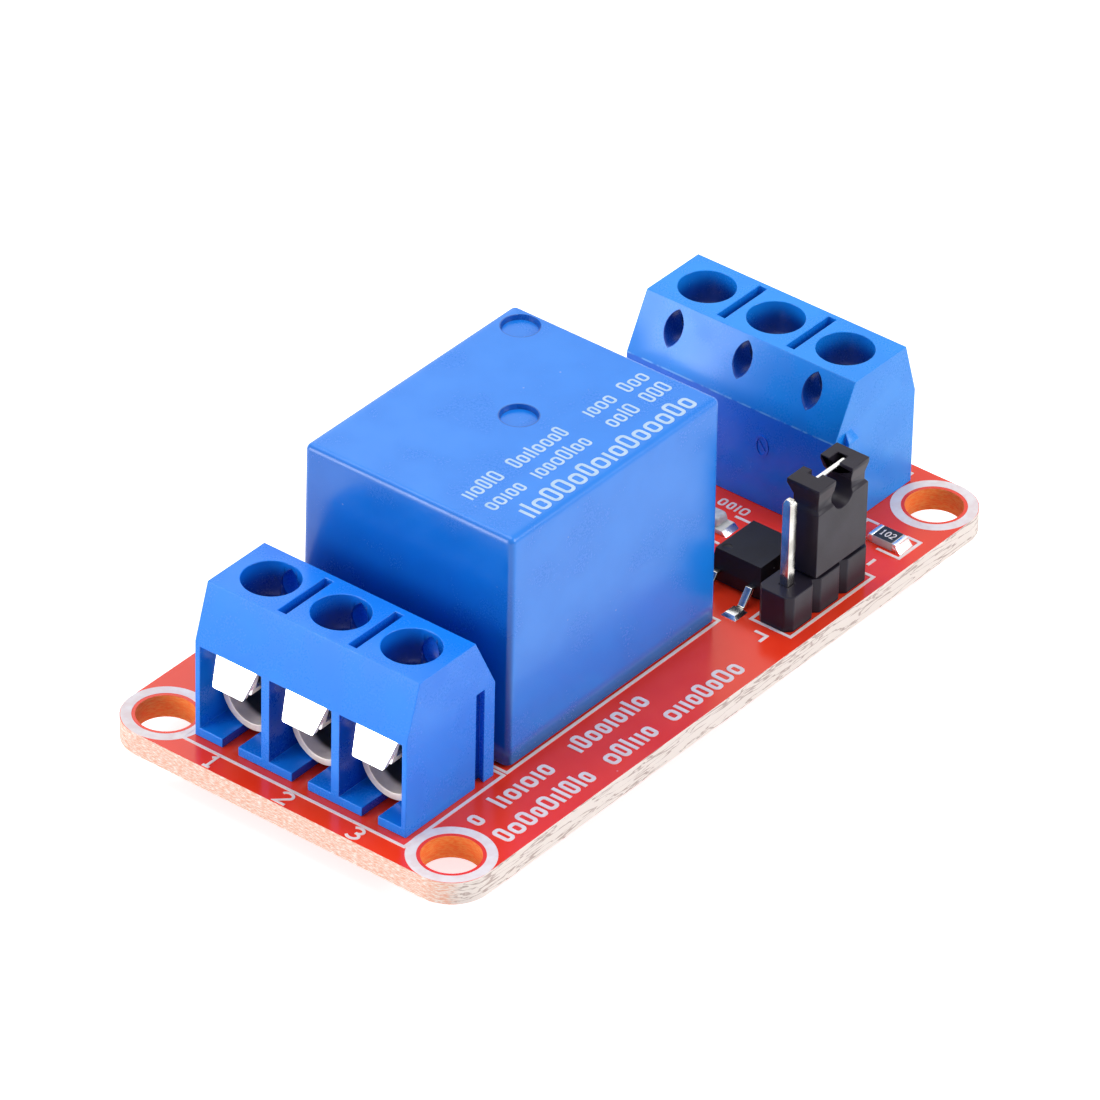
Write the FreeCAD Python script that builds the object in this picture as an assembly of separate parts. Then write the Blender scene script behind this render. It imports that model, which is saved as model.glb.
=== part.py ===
import FreeCAD, Part
import math
import os

# Sizes are in mm and angles in degrees. The origin is the board's centre, z = 0 is where the soldered pins
# end, and +X points to the input terminal block. Heights of parts are counted from the board's top face.

# Circuit board
board_length = 50.0
board_width = 26.0
board_thickness = 1.5
board_corner_radius = 2.5
pin_tip_drop = 1.5
mount_spacing_x = 44.8
mount_spacing_y = 20.8
mount_hole_radius = 1.75
board_bottom = pin_tip_drop
board_top = board_bottom + board_thickness

# Relay outline. What stands beside the relay is placed from its two ends.
relay_x = -4.69
relay_y = -0.22
relay_length = 19.0
relay_width = 15.2
relay_height = 15.5
relay_start_x = relay_x - relay_length / 2
relay_end_x = relay_x + relay_length / 2

# Terminal blocks: depth runs from the wire face inwards, the same moulding stands at both ends
block_depth = 7.8
output_relay_gap = 0.91
output_face_x = relay_start_x - output_relay_gap - block_depth
output_centre_y = 0.15
input_relay_gap = 10.97
input_face_x = relay_end_x + input_relay_gap + block_depth
input_centre_y = -0.13
pole_count = 3
pole_pitch = 5.08
cell_width = 4.48
end_wall = 0.35
block_height = 10.0
shoulder_height = 6.48
top_front = 1.1
top_back = 6.0
cell_depth = 5.6
cell_floor = 0.6
cell_ceiling = 6.2
floor_slot_width = 1.14
floor_slot_end = 4.3
bore_depth = 3.56
bore_radius = 1.745
top_slot_width = 0.6
top_slot_front = 1.45
top_slot_back = 5.55
top_slot_floor = 7.0
eye_height = 8.63
eye_half_height = 1.02
eye_half_width = 0.6
key_depth = 6.5
key_neck = 0.6
key_head = 1.05
key_reach = 0.45
key_top = 6.35
key_slope = 0.55
key_clearance = 0.05
block_length = (pole_count - 1) * pole_pitch + cell_width + 2 * end_wall
pole_offsets = [(i - (pole_count - 1) / 2) * pole_pitch for i in range(pole_count)]

# Clamp frames: a closed metal loop round each wire, with its solder pin
clamp_front = 1.75
clamp_back = 5.4
clamp_half_width = 2.1
clamp_wall = 0.45
clamp_top = 6.15
clamp_plate = 1.0
clamp_pin_radius = 0.5
clamp_hole_radius = 0.65

# Wire guards: a plate under the screw and a lip that folds down in front of the frame
guard_half_width = 1.5
guard_bottom = 4.1
guard_thickness = 0.4
guard_back = 5.3
lip_post = 0.3
lip_top = 5.9
lip_top_depth = 0.65
lip_foot = 4.1
lip_foot_depth = -0.25
lip_thickness = 0.335
lip_top_half_width = 1.52
lip_foot_half_width = 1.12
lip_corner_radius = 0.15

# Clamp screws: headless, slotted
screw_radius = 1.45
screw_hole_clearance = 0.05
screw_length = 3.0
screw_tip_gap = 0.02
screw_chamfer = 0.2
screw_slot_width = 0.5
screw_slot_depth = 0.8

# Relay, drawn about its own centre. The +X end holds the yoke, the -X end the contacts.
relay_lift = 0.2
relay_draft = 0.1
relay_edge_radius = 0.5
relay_wall = 0.7
relay_roof = 0.8
dimple_radius = 1.16
dimple_depth = 0.15
dimple_places = [(7.79, 5.75), (0.59, 0.06)]
base_thickness = 1.2
foot_size = 1.2
contact_pin_inset = 2.6
contact_pin_x = contact_pin_inset - relay_length / 2
coil_pin_inset = 4.2
coil_pin_x = relay_length / 2 - coil_pin_inset
pin_row_inset = 1.6
pin_row_y = relay_width / 2 - pin_row_inset
contact_pin_radius = 0.45
coil_pin_radius = 0.3
contact_hole_radius = 0.6
coil_hole_radius = 0.45
yoke_inset = 2.2
yoke_x = relay_length / 2 - yoke_inset
yoke_thickness = 1.2
yoke_side_gap = 1.5
yoke_half_width = pin_row_y - yoke_side_gap
yoke_top = 11.6
bobbin_side_gap = 0.5
bobbin_half_width = pin_row_y - bobbin_side_gap
coil_recess = 1.2
coil_radius = bobbin_half_width - coil_recess
bobbin_past_coil = 0.2
bobbin_half_length = coil_radius + bobbin_past_coil
bobbin_flange = 0.8
bobbin_tube_radius = 2.6
coil_yoke_gap = 0.3
core_to_yoke = coil_radius + coil_yoke_gap + yoke_thickness / 2
core_x = yoke_x - core_to_yoke
core_radius = 2.0
core_shank_radius = 1.5
foot_past_core = 2.5
yoke_foot_length = core_to_yoke - yoke_thickness / 2 + foot_past_core
pole_face_radius = 2.75
pole_face_thickness = 0.5
coil_pin_rise = 0.6
armature_past_core = 4.1
armature_length = core_to_yoke + yoke_thickness / 2 + armature_past_core
armature_thickness = 0.8
armature_side_step = 0.5
armature_half_width = yoke_half_width - armature_side_step
blade_start = 1.4
blade_past_contact = 0.8
blade_thickness = 0.2
blade_half_width = 1.5
contact_past_pin = 0.8
contact_travel = 0.93
rivet_radius = 1.0
rivet_height = 0.35
contact_tab_width = 2.0
contact_tab_thickness = 0.5
contact_tab_past_centre = 1.2
open_contact_gap = 0.05
closed_contact_gap = 0.04

# Pin header and jumper
header_first_pin_x = 7.68
header_y = -10.68
header_pitch = 2.54
header_count = 3
header_width = 2.46
header_height = 2.4
header_chamfer = 0.385
header_pin_half = 0.32
header_pin_top = 8.27
header_pin_point = 0.3
header_pin_point_inset = 0.14
header_hole_radius = 0.5
jumper_length = 4.75
jumper_shift = -0.21
jumper_bottom = 2.6
jumper_top = 8.6
jumper_front = 1.16
jumper_back = 0.97
jumper_head_back = 0.23
jumper_head_low = 8.3
jumper_waist_top = 7.6
jumper_waist_low = 7.1
jumper_waist_flare = 0.2
jumper_waist_inset = 0.16
jumper_pocket_half_length = 1.87
jumper_pocket_half_width = 0.57
jumper_web_half = 0.85
jumper_shoulder = 5.7
jumper_opening_floor = 7.9
jumper_gap_half = 0.78
jumper_notch_radius = 0.95
jumper_notch_height = 7.3
clip_thickness = 0.2
clip_bottom = 3.0
clip_leg_length = 0.9
strip_lift = 0.01
strip_thickness = 0.15
strip_half_length = 1.42
strip_half_width = 0.15
strip_clearance = 0.02

# Surface-mounted parts
opto_x = relay_end_x + 4.99
opto_y = -6.92
opto_length_x = 3.9
opto_length_y = 3.6
opto_bottom = 0.1
opto_top = 2.35
opto_lead_height = 1.05
opto_draft = 0.15
opto_dot_radius = 0.3
opto_dot_depth = 0.05
opto_dot_place = (-1.3, 1.15)
opto_lead_pitch = 2.54
opto_lead_width = 0.48
opto_lead_thickness = 0.2
opto_lead_run = 0.45
opto_lead_drop = 0.7
opto_lead_reach = 2.05
transistor_x = relay_end_x + 3.49
transistor_y = 2.4
transistor_length = 2.9
transistor_width = 1.3
transistor_top = 1.05
transistor_lead_spacing = 1.9
diode_x = relay_end_x + 3.79
diode_y = 8.0
diode_length = 2.7
diode_width = 1.6
diode_top = 1.2
small_lead_width = 0.45
small_lead_thickness = 0.14
small_lead_height = 0.55
small_lead_run = 0.15
small_lead_drop = 0.15
small_lead_reach = 0.6
small_bottom = 0.05
small_draft = 0.08
lead_band = 1.0
chip_length = 2.0
chip_width = 1.25
chip_height = 0.55
chip_cap_length = 0.3
resistor_places = [(17.6, -10.6), (13.4, 5.6), (13.4, 9.2), (relay_end_x + 2.79, -2.3)]
lamp_x = relay_end_x + 7.68
lamp_places = [(lamp_x, -1.78), (lamp_x, 1.6)]
lamp_base_height = 0.3
lamp_height = 0.95
lamp_lens_length = 1.3
lamp_lens_draft = 0.12
fillet_reach = 0.35
fillet_height = 0.4
pad_margin = 0.3
opto_pad_length = 1.2
small_pad_length = 0.75
pad_height = 0.22
pad_slope = 0.2

# Solder under the board
solder_cone_height = 0.7
solder_cone_margin = 0.45
solder_cone_top = 0.18
solder_cone_sides = 12


def vec(x, y, z):
    return FreeCAD.Vector(x, y, z)


def box(x0, x1, y0, y1, z0, z1):
    return Part.makeBox(x1 - x0, y1 - y0, z1 - z0, vec(x0, y0, z0))


def rod(x, y, z0, z1, radius):
    return Part.makeCylinder(radius, z1 - z0, vec(x, y, z0))


def prism(points, direction):
    corners = [vec(*point) for point in points]
    face = Part.Face(Part.makePolygon(corners + [corners[0]]))
    return face.extrude(vec(*direction))


def ring_solid(low, high):
    count = len(low)
    rings = [list(reversed(low)), high]
    for i in range(count):
        j = (i + 1) % count
        rings.append([low[i], low[j], high[j], high[i]])
    faces = [Part.Face(Part.makePolygon(ring + [ring[0]])) for ring in rings]
    return Part.makeSolid(Part.makeShell(faces))


def frustum(x0, x1, y0, y1, z0, z1, inset):
    low = [vec(x0, y0, z0), vec(x1, y0, z0), vec(x1, y1, z0), vec(x0, y1, z0)]
    high = [
        vec(x0 + inset, y0 + inset, z1),
        vec(x1 - inset, y0 + inset, z1),
        vec(x1 - inset, y1 - inset, z1),
        vec(x0 + inset, y1 - inset, z1),
    ]
    return ring_solid(low, high)


def faceted_cone(x, y, z0, z1, radius0, radius1):
    angles = [2 * math.pi * i / solder_cone_sides for i in range(solder_cone_sides)]
    low = [vec(x + radius0 * math.cos(a), y + radius0 * math.sin(a), z0) for a in angles]
    high = [vec(x + radius1 * math.cos(a), y + radius1 * math.sin(a), z1) for a in angles]
    return ring_solid(low, high)


def cut_all(shape, tools):
    for tool in tools:
        shape = shape.cut(tool)
    return shape


def fuse_all(shapes):
    result = shapes[0]
    for shape in shapes[1:]:
        result = result.fuse(shape)
    return result.removeSplitter()


def at(shape, x, y, turn=0.0):
    placed = shape.copy()
    placed.rotate(vec(0, 0, 0), vec(0, 0, 1), turn)
    placed.translate(vec(x, y, 0))
    return placed


# Where every soldered pin stands: x, y, hole radius and the pin as a solid
def soldered_pins():
    pins = []
    for place in block_places.values():
        for offset in pole_offsets:
            pin = at(rod(bore_depth, offset, 0, board_top, clamp_pin_radius), *place)
            pins.append((pin, clamp_hole_radius))
    for x, y in [(contact_pin_x, pin_row_y), (contact_pin_x, -pin_row_y), (yoke_x, 0)]:
        pin = rod(relay_x + x, relay_y + y, 0, board_top, contact_pin_radius)
        pins.append((pin, contact_hole_radius))
    for y in [pin_row_y, -pin_row_y]:
        pin = rod(relay_x + coil_pin_x, relay_y + y, 0, board_top, coil_pin_radius)
        pins.append((pin, coil_hole_radius))
    for i in range(header_count):
        pins.append((header_pin(i), header_hole_radius))
    return pins


def pin_centre(pin):
    bounds = pin.BoundBox
    return bounds.Center.x, bounds.Center.y


def circuit_board():
    half_x = board_length / 2
    half_y = board_width / 2
    plate = box(-half_x, half_x, -half_y, half_y, board_bottom, board_top)
    corners = [edge for edge in plate.Edges if abs(edge.tangentAt(edge.FirstParameter).z) > 0.5]
    plate = plate.makeFillet(board_corner_radius, corners)
    holes = []
    for sx in (-0.5, 0.5):
        for sy in (-0.5, 0.5):
            x = sx * mount_spacing_x
            y = sy * mount_spacing_y
            holes.append(rod(x, y, board_bottom, board_top, mount_hole_radius))
    for pin, hole_radius in soldered_pins():
        x, y = pin_centre(pin)
        holes.append(rod(x, y, board_bottom, board_top, hole_radius))
    return cut_all(plate, holes)


# Each joint is a cone round its pin, against the underside of the board.
def solder_joints():
    joints = []
    for pin, hole_radius in soldered_pins():
        x, y = pin_centre(pin)
        wide = hole_radius + solder_cone_margin
        narrow = pin.BoundBox.XLength / 2 + solder_cone_top
        cone_end = board_bottom - solder_cone_height
        cone = faceted_cone(x, y, cone_end, board_bottom, narrow, wide)
        joints.append(cone.cut(pin))
    return Part.makeCompound(joints)


def lens_prism(y, z, s0, s1):
    top = vec(s0, y, z + eye_half_height)
    low = vec(s0, y, z - eye_half_height)
    arcs = []
    for side in (-1, 1):
        middle = vec(s0, y + side * eye_half_width, z)
        arcs.append(Part.Arc(low, middle, top).toShape())
    face = Part.Face(Part.Wire(arcs))
    return face.extrude(vec(s1 - s0, 0, 0))


# A dovetail seen from above: the neck lies on the end face and the head lies deeper or further out.
def dovetail(face_y, reach, grow, z0, z1):
    neck = key_neck / 2 + grow
    head = key_head / 2 + grow
    points = [
        (key_depth - neck, face_y, z0),
        (key_depth + neck, face_y, z0),
        (key_depth + head, face_y + reach, z0),
        (key_depth - head, face_y + reach, z0),
    ]
    return prism(points, (0, 0, z1 - z0))


def terminal_housing():
    half = block_length / 2
    profile = [
        (0, 0),
        (0, shoulder_height),
        (top_front, block_height),
        (top_back, block_height),
        (block_depth, shoulder_height),
        (block_depth, 0),
    ]
    body = prism([(s, -half, board_top + z) for s, z in profile], (0, block_length, 0))
    tools = []
    for y in pole_offsets:
        side = cell_width / 2
        floor = board_top + cell_floor
        ceiling = board_top + cell_ceiling
        slot = floor_slot_width / 2
        tools.append(box(0, cell_depth, y - side, y + side, floor, ceiling))
        tools.append(box(0, floor_slot_end, y - slot, y + slot, board_top, floor))
        tools.append(rod(bore_depth, y, ceiling, board_top + block_height, bore_radius))
        tools.append(lens_prism(y, board_top + eye_height, bore_depth, block_depth))
    for i in range(pole_count - 1):
        y = (pole_offsets[i] + pole_offsets[i + 1]) / 2
        side = top_slot_width / 2
        low = board_top + top_slot_floor
        tools.append(box(top_slot_front, top_slot_back, y - side, y + side, low, board_top + block_height))
    groove_top = board_top + key_top + key_clearance
    tools.append(dovetail(-half, key_reach + key_clearance, key_clearance, board_top, groove_top))
    body = cut_all(body, tools)
    key = dovetail(half, key_reach, 0, board_top, board_top + key_top + key_slope)
    tip = half + key_reach
    side_view = [
        (0, half, board_top),
        (0, tip, board_top),
        (0, tip, board_top + key_top),
        (0, half, board_top + key_top + key_slope),
    ]
    return body.fuse(key.common(prism(side_view, (block_depth, 0, 0)))).removeSplitter()


# An upright bar with a round bottom, lying along the depth
def round_bottom_bar(y, half_width, round_z, top_z):
    upper = box(clamp_front, clamp_back, y - half_width, y + half_width, round_z, top_z)
    length = clamp_back - clamp_front
    lower = Part.makeCylinder(half_width, length, vec(clamp_front, y, round_z), vec(1, 0, 0))
    return fuse_all([upper, lower])


def terminal_clamp(y):
    round_z = board_top + cell_floor + clamp_half_width
    top_z = board_top + clamp_top
    outside = round_bottom_bar(y, clamp_half_width, round_z, top_z)
    inside = round_bottom_bar(y, clamp_half_width - clamp_wall, round_z, top_z - clamp_plate)
    screw_hole = rod(bore_depth, y, top_z - clamp_plate, top_z, screw_radius + screw_hole_clearance)
    pin_top = board_top + cell_floor + clamp_wall / 2
    pin = rod(bore_depth, y, 0, pin_top, clamp_pin_radius)
    return fuse_all([cut_all(outside, [inside, screw_hole]), pin])


def terminal_guard(y):
    bottom = board_top + guard_bottom
    top = bottom + guard_thickness
    plate = box(clamp_front, guard_back, y - guard_half_width, y + guard_half_width, bottom, top)
    post_back = lip_top_depth + lip_post / 2
    post_front = lip_top_depth - lip_post / 2
    ridge = board_top + lip_top
    foot = board_top + lip_foot
    slope = (ridge - foot) / (lip_top_depth - lip_foot_depth)
    inner_foot = lip_foot_depth + lip_thickness
    profile = [
        (clamp_front, top),
        (post_back, top),
        (post_back, ridge),
        (lip_top_depth, ridge),
        (lip_foot_depth, foot),
        (inner_foot, foot),
        (post_front, foot + slope * (post_front - inner_foot)),
        (post_front, bottom),
        (clamp_front, bottom),
    ]
    wide = lip_top_half_width
    narrow = lip_foot_half_width
    lip = prism([(s, y - wide, z) for s, z in profile], (0, 2 * wide, 0))
    outline = [(y - narrow, foot), (y + narrow, foot), (y + wide, ridge), (y - wide, ridge)]
    front_view = prism([(lip_foot_depth, side, z) for side, z in outline], (clamp_front - lip_foot_depth, 0, 0))
    lower = [
        edge for edge in front_view.Edges
        if abs(edge.tangentAt(edge.FirstParameter).x) > 0.5 and edge.CenterOfMass.z < (foot + ridge) / 2
    ]
    lip = lip.common(front_view.makeFillet(lip_corner_radius, lower))
    return fuse_all([plate, lip])


def terminal_screw(y):
    tip = board_top + guard_bottom + guard_thickness + screw_tip_gap
    top = tip + screw_length
    body = rod(bore_depth, y, tip, top, screw_radius)
    rim = [edge for edge in body.Edges if edge.CenterOfMass.z > top - screw_chamfer]
    body = body.makeChamfer(screw_chamfer, rim)
    half = screw_slot_width / 2
    reach = screw_radius
    slot = box(bore_depth - half, bore_depth + half, y - reach, y + reach, top - screw_slot_depth, top)
    return body.cut(slot)


def relay_box(x0, x1, half_y, z0, z1):
    return box(x0, x1, -half_y, half_y, board_top + z0, board_top + z1)


def relay_cover():
    half_x = relay_length / 2
    half_y = relay_width / 2
    low = board_top + relay_lift
    high = board_top + relay_height
    shell = frustum(-half_x, half_x, -half_y, half_y, low, high, relay_draft)
    edges = [edge for edge in shell.Edges if edge.CenterOfMass.z > low + relay_edge_radius]
    shell = shell.makeFillet(relay_edge_radius, edges)
    cavity = relay_box(
        -half_x + relay_wall, half_x - relay_wall, half_y - relay_wall, relay_lift, relay_height - relay_roof
    )
    tools = [cavity]
    for x, y in dimple_places:
        tools.append(rod(x, y, high - dimple_depth, high, dimple_radius))
    return cut_all(shell, tools)


def relay_base():
    half_x = relay_length / 2 - relay_wall
    half_y = relay_width / 2 - relay_wall
    top = relay_lift + base_thickness
    pieces = [relay_box(-half_x, half_x, half_y, relay_lift, top)]
    for sx in (-1, 1):
        for sy in (-1, 1):
            x = sx * (half_x - foot_size / 2)
            y = sy * (half_y - foot_size / 2)
            r = foot_size / 2
            pieces.append(box(x - r, x + r, y - r, y + r, board_top, board_top + relay_lift))
    low = board_top + relay_lift
    high = board_top + top
    holes = [rod(yoke_x, 0, low, high, contact_pin_radius)]
    for y in (-pin_row_y, pin_row_y):
        holes.append(rod(contact_pin_x, y, low, high, contact_pin_radius))
        holes.append(rod(coil_pin_x, y, low, high, coil_pin_radius))
    return cut_all(fuse_all(pieces), holes)


# Heights inside the relay, from the board's top: base top, yoke foot top, flange faces
base_top = relay_lift + base_thickness
foot_top = base_top + yoke_thickness
bobbin_top = yoke_top - pole_face_thickness
coil_bottom = foot_top + bobbin_flange
coil_top = bobbin_top - bobbin_flange
hinge_x = yoke_x + yoke_thickness / 2
contact_reach = hinge_x - contact_pin_x - contact_past_pin
armature_lift = math.degrees(math.atan2(contact_travel, contact_reach))
rivet_low = yoke_top + armature_thickness - rivet_height
rivet_rise = armature_thickness + blade_thickness + rivet_height
open_contact_top = rivet_low - open_contact_gap


def relay_yoke():
    inner_x = yoke_x - yoke_thickness / 2
    upright = relay_box(inner_x, hinge_x, yoke_half_width, base_top, yoke_top)
    foot = relay_box(inner_x - yoke_foot_length, inner_x, yoke_half_width, base_top, foot_top)
    tail = rod(yoke_x, 0, 0, board_top + base_top, contact_pin_radius)
    shank_hole = rod(core_x, 0, board_top + base_top, board_top + foot_top, core_shank_radius)
    return fuse_all([upright, foot, tail]).cut(shank_hole)


def relay_core():
    shank = rod(core_x, 0, board_top + base_top, board_top + foot_top, core_shank_radius)
    stem = rod(core_x, 0, board_top + foot_top, board_top + bobbin_top, core_radius)
    pole_face = rod(core_x, 0, board_top + bobbin_top, board_top + yoke_top, pole_face_radius)
    return fuse_all([shank, stem, pole_face])


def relay_bobbin():
    x0 = core_x - bobbin_half_length
    x1 = core_x + bobbin_half_length
    lower = relay_box(x0, x1, bobbin_half_width, foot_top, coil_bottom)
    upper = relay_box(x0, x1, bobbin_half_width, coil_top, bobbin_top)
    tube = rod(core_x, 0, board_top + coil_bottom, board_top + coil_top, bobbin_tube_radius)
    core_hole = rod(core_x, 0, board_top + foot_top, board_top + bobbin_top, core_radius)
    return fuse_all([lower, upper, tube]).cut(core_hole)


def relay_coil():
    low = board_top + coil_bottom
    high = board_top + coil_top
    return rod(core_x, 0, low, high, coil_radius).cut(rod(core_x, 0, low, high, bobbin_tube_radius))


# The armature and its blade are drawn flat on the pole face, then lifted to the released position.
def lifted(shape):
    released = shape.copy()
    released.rotate(vec(hinge_x, 0, board_top + yoke_top), vec(0, 1, 0), armature_lift)
    return released


def relay_armature():
    top = yoke_top + armature_thickness
    return lifted(relay_box(hinge_x - armature_length, hinge_x, armature_half_width, yoke_top, top))


def relay_moving_contact():
    low = yoke_top + armature_thickness
    high = low + blade_thickness
    x = hinge_x - contact_reach
    blade = relay_box(x - blade_past_contact, hinge_x - blade_start, blade_half_width, low, high)
    rivet = rod(x, 0, board_top + low - rivet_height, board_top + high + rivet_height, rivet_radius)
    return lifted(fuse_all([blade, rivet]))


# The far edge of the lifted rivet meets the closed contact first.
def closed_contact_bottom():
    lift = math.radians(armature_lift)
    rivet_top = (contact_reach + rivet_radius) * math.sin(lift) + rivet_rise * math.cos(lift)
    return yoke_top + rivet_top + closed_contact_gap


def fixed_contact(side, arm_bottom):
    arm_top = arm_bottom + contact_tab_thickness
    half_tab = contact_tab_width / 2
    half_thick = contact_tab_thickness / 2
    x = hinge_x - contact_reach
    row = side * pin_row_y
    far = -side * contact_tab_past_centre
    outer = row + side * half_thick
    post = box(
        x - half_tab, x + half_tab, row - half_thick, row + half_thick, board_top + base_top, board_top + arm_top
    )
    arm = box(
        x - half_tab, x + half_tab, min(outer, far), max(outer, far), board_top + arm_bottom, board_top + arm_top
    )
    pin = rod(contact_pin_x, row, 0, board_top + base_top, contact_pin_radius)
    return fuse_all([post, arm, pin])


def relay_coil_pins():
    top = board_top + base_top + coil_pin_rise
    return Part.makeCompound([rod(coil_pin_x, y, 0, top, coil_pin_radius) for y in (-pin_row_y, pin_row_y)])


def header_pin_x(i):
    return header_first_pin_x + i * header_pitch


def header_base():
    half = header_pitch / 2
    front = header_y - header_width / 2
    back = header_y + header_width / 2
    front_edge = []
    back_edge = []
    for i in range(header_count):
        x = header_pin_x(i)
        shifts = [(-half, header_chamfer), (-half + header_chamfer, 0), (half - header_chamfer, 0)]
        front_edge += [(x + dx, front + dy, board_top) for dx, dy in shifts]
        back_edge += [(x + dx, back - dy, board_top) for dx, dy in shifts]
    end_x = header_pin_x(header_count - 1) + half
    front_edge.append((end_x, front + header_chamfer, board_top))
    back_edge.append((end_x, back - header_chamfer, board_top))
    body = prism(front_edge + back_edge[::-1], (0, 0, header_height))
    h = header_pin_half
    for i in range(header_count):
        x = header_pin_x(i)
        body = body.cut(box(x - h, x + h, header_y - h, header_y + h, board_top, board_top + header_height))
    return body


def header_pin(i):
    x = header_pin_x(i)
    h = header_pin_half
    inset = header_pin_point_inset
    top = board_top + header_pin_top
    shaft = box(x - h, x + h, header_y - h, header_y + h, header_pin_point, top - header_pin_point)
    upper = frustum(x - h, x + h, header_y - h, header_y + h, top - header_pin_point, top, inset)
    s = h - inset
    lower = frustum(x - s, x + s, header_y - s, header_y + s, 0, header_pin_point, -inset)
    return fuse_all([lower, shaft, upper])


# The jumper sits on the two pins nearest the input block, and its metal strip lies just over their points.
jumper_x = (header_pin_x(header_count - 2) + header_pin_x(header_count - 1)) / 2
strip_top = header_pin_top + strip_lift + strip_thickness


# An outline of the cap from one side: straight below, a waist under the head, and the head flaring out above it
def jumper_outline(near, far, head_past):
    low = board_top + jumper_bottom
    flare = board_top + jumper_waist_low - jumper_waist_flare
    waist_low = board_top + jumper_waist_low
    waist_top = board_top + jumper_waist_top
    head_low = board_top + jumper_head_low
    high = board_top + jumper_top
    near_waist = near + jumper_waist_inset
    far_waist = far - jumper_waist_inset
    far_head = far + head_past
    left = [(near, low), (near, flare), (near_waist, waist_low), (near_waist, waist_top), (near, head_low), (near, high)]
    right = [(far_head, high), (far_head, head_low), (far_waist, waist_top), (far_waist, waist_low), (far, flare)]
    return left + right + [(far, low)]


def jumper_cap():
    middle = jumper_x + jumper_shift
    x0 = middle - jumper_length / 2
    x1 = middle + jumper_length / 2
    front = header_y - jumper_front
    back = header_y + jumper_back
    low = board_top + jumper_bottom
    high = board_top + jumper_top
    side_view = [(x0, y, z) for y, z in jumper_outline(front, back, jumper_head_back)]
    front_view = [(x, front, z) for x, z in jumper_outline(x0, x1, 0)]
    past_back = back + jumper_head_back
    cap = prism(side_view, (jumper_length, 0, 0)).common(prism(front_view, (0, past_back - front, 0)))
    inner = jumper_pocket_half_length
    web = jumper_web_half
    y0 = header_y - jumper_pocket_half_width
    y1 = header_y + jumper_pocket_half_width
    roof_z = board_top + strip_top + strip_clearance
    left_pocket = box(jumper_x - inner, jumper_x - web, y0, y1, low, roof_z)
    right_pocket = box(jumper_x + web, jumper_x + inner, y0, y1, low, roof_z)
    half = strip_half_length + strip_clearance
    strip_front = header_y - strip_half_width - strip_clearance
    opening = box(jumper_x - half, jumper_x + half, strip_front, y1, board_top + jumper_opening_floor, high)
    notch_z = board_top + jumper_notch_height
    gap = box(middle - jumper_gap_half, middle + jumper_gap_half, front, past_back, notch_z, high)
    notch = Part.makeCylinder(jumper_notch_radius, past_back - front, vec(middle, front, notch_z), vec(0, 1, 0))
    return cut_all(cap, [left_pocket, right_pocket, opening, gap, notch])


# One strip lies over both pins and turns down in front of each, where it has a leg, a side and a leg behind.
def jumper_clip():
    front = header_y - jumper_pocket_half_width
    back = header_y + jumper_pocket_half_width
    t = clip_thickness
    top = board_top + strip_top
    strip_low = top - strip_thickness
    low = board_top + clip_bottom
    half = strip_half_length
    half_strip = strip_half_width
    leg = clip_leg_length
    shoulder = board_top + jumper_shoulder
    pieces = [box(jumper_x - half, jumper_x + half, header_y - half_strip, header_y + half_strip, strip_low, top)]
    for side in (-1, 1):
        outer = side * jumper_pocket_half_length
        inner = side * (jumper_pocket_half_length - leg)
        span = sorted([outer, inner])
        turn = sorted([side * half, inner])
        wall = sorted([outer, outer - side * t])
        x0 = jumper_x + span[0]
        x1 = jumper_x + span[1]
        pieces.append(box(x0, x1, front, front + t, low, shoulder))
        pieces.append(box(jumper_x + turn[0], jumper_x + turn[1], front, front + t, shoulder, top))
        pieces.append(box(jumper_x + turn[0], jumper_x + turn[1], front, header_y - half_strip, strip_low, top))
        pieces.append(box(jumper_x + wall[0], jumper_x + wall[1], front, back, low, shoulder))
        pieces.append(box(x0, x1, back - t, back, low, shoulder))
    return fuse_all(pieces)


def moulded_body(length_x, length_y, low, high, lead_height, band, draft):
    half_x = length_x / 2
    half_y = length_y / 2
    x0 = -half_x + draft
    y0 = -half_y + draft
    band_low = board_top + lead_height - band / 2
    band_high = board_top + lead_height + band / 2
    lower = frustum(x0, -x0, y0, -y0, board_top + low, band_low, -draft)
    middle = box(-half_x, half_x, -half_y, half_y, band_low, band_high)
    upper = frustum(-half_x, half_x, -half_y, half_y, band_high, board_top + high, draft)
    return fuse_all([lower, middle, upper])


# A gull-wing lead that leaves its body at s = 0 and runs out along +X
def gull_lead(width, thickness, height, run, drop, reach):
    mid_high = height + thickness / 2
    mid_low = height - thickness / 2
    knee = run + drop
    lean = thickness * drop / math.hypot(drop, height)
    profile = [
        (0, mid_high),
        (run, mid_high),
        (knee, thickness),
        (reach, thickness),
        (reach, 0),
        (knee - lean - thickness / 2, 0),
        (run - lean - thickness / 2, mid_low),
        (0, mid_low),
    ]
    return prism([(s, -width / 2, board_top + z) for s, z in profile], (0, width, 0))


def opto_lead():
    return gull_lead(
        opto_lead_width, opto_lead_thickness, opto_lead_height, opto_lead_run, opto_lead_drop, opto_lead_reach
    )


def opto_lead_places():
    places = []
    for side, turn in ((1, 0), (-1, 180)):
        for row in (-0.5, 0.5):
            places.append((opto_x + side * opto_length_x / 2, opto_y + row * opto_lead_pitch, turn))
    return places


def optocoupler_body():
    band = opto_lead_thickness * lead_band
    body = moulded_body(
        opto_length_x, opto_length_y, opto_bottom, opto_top, opto_lead_height, band, opto_draft
    )
    x, y = opto_dot_place
    high = board_top + opto_top
    return at(body.cut(rod(x, y, high - opto_dot_depth, high, opto_dot_radius)), opto_x, opto_y)


def optocoupler_leads():
    return Part.makeCompound([at(opto_lead(), *place) for place in opto_lead_places()])


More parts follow.
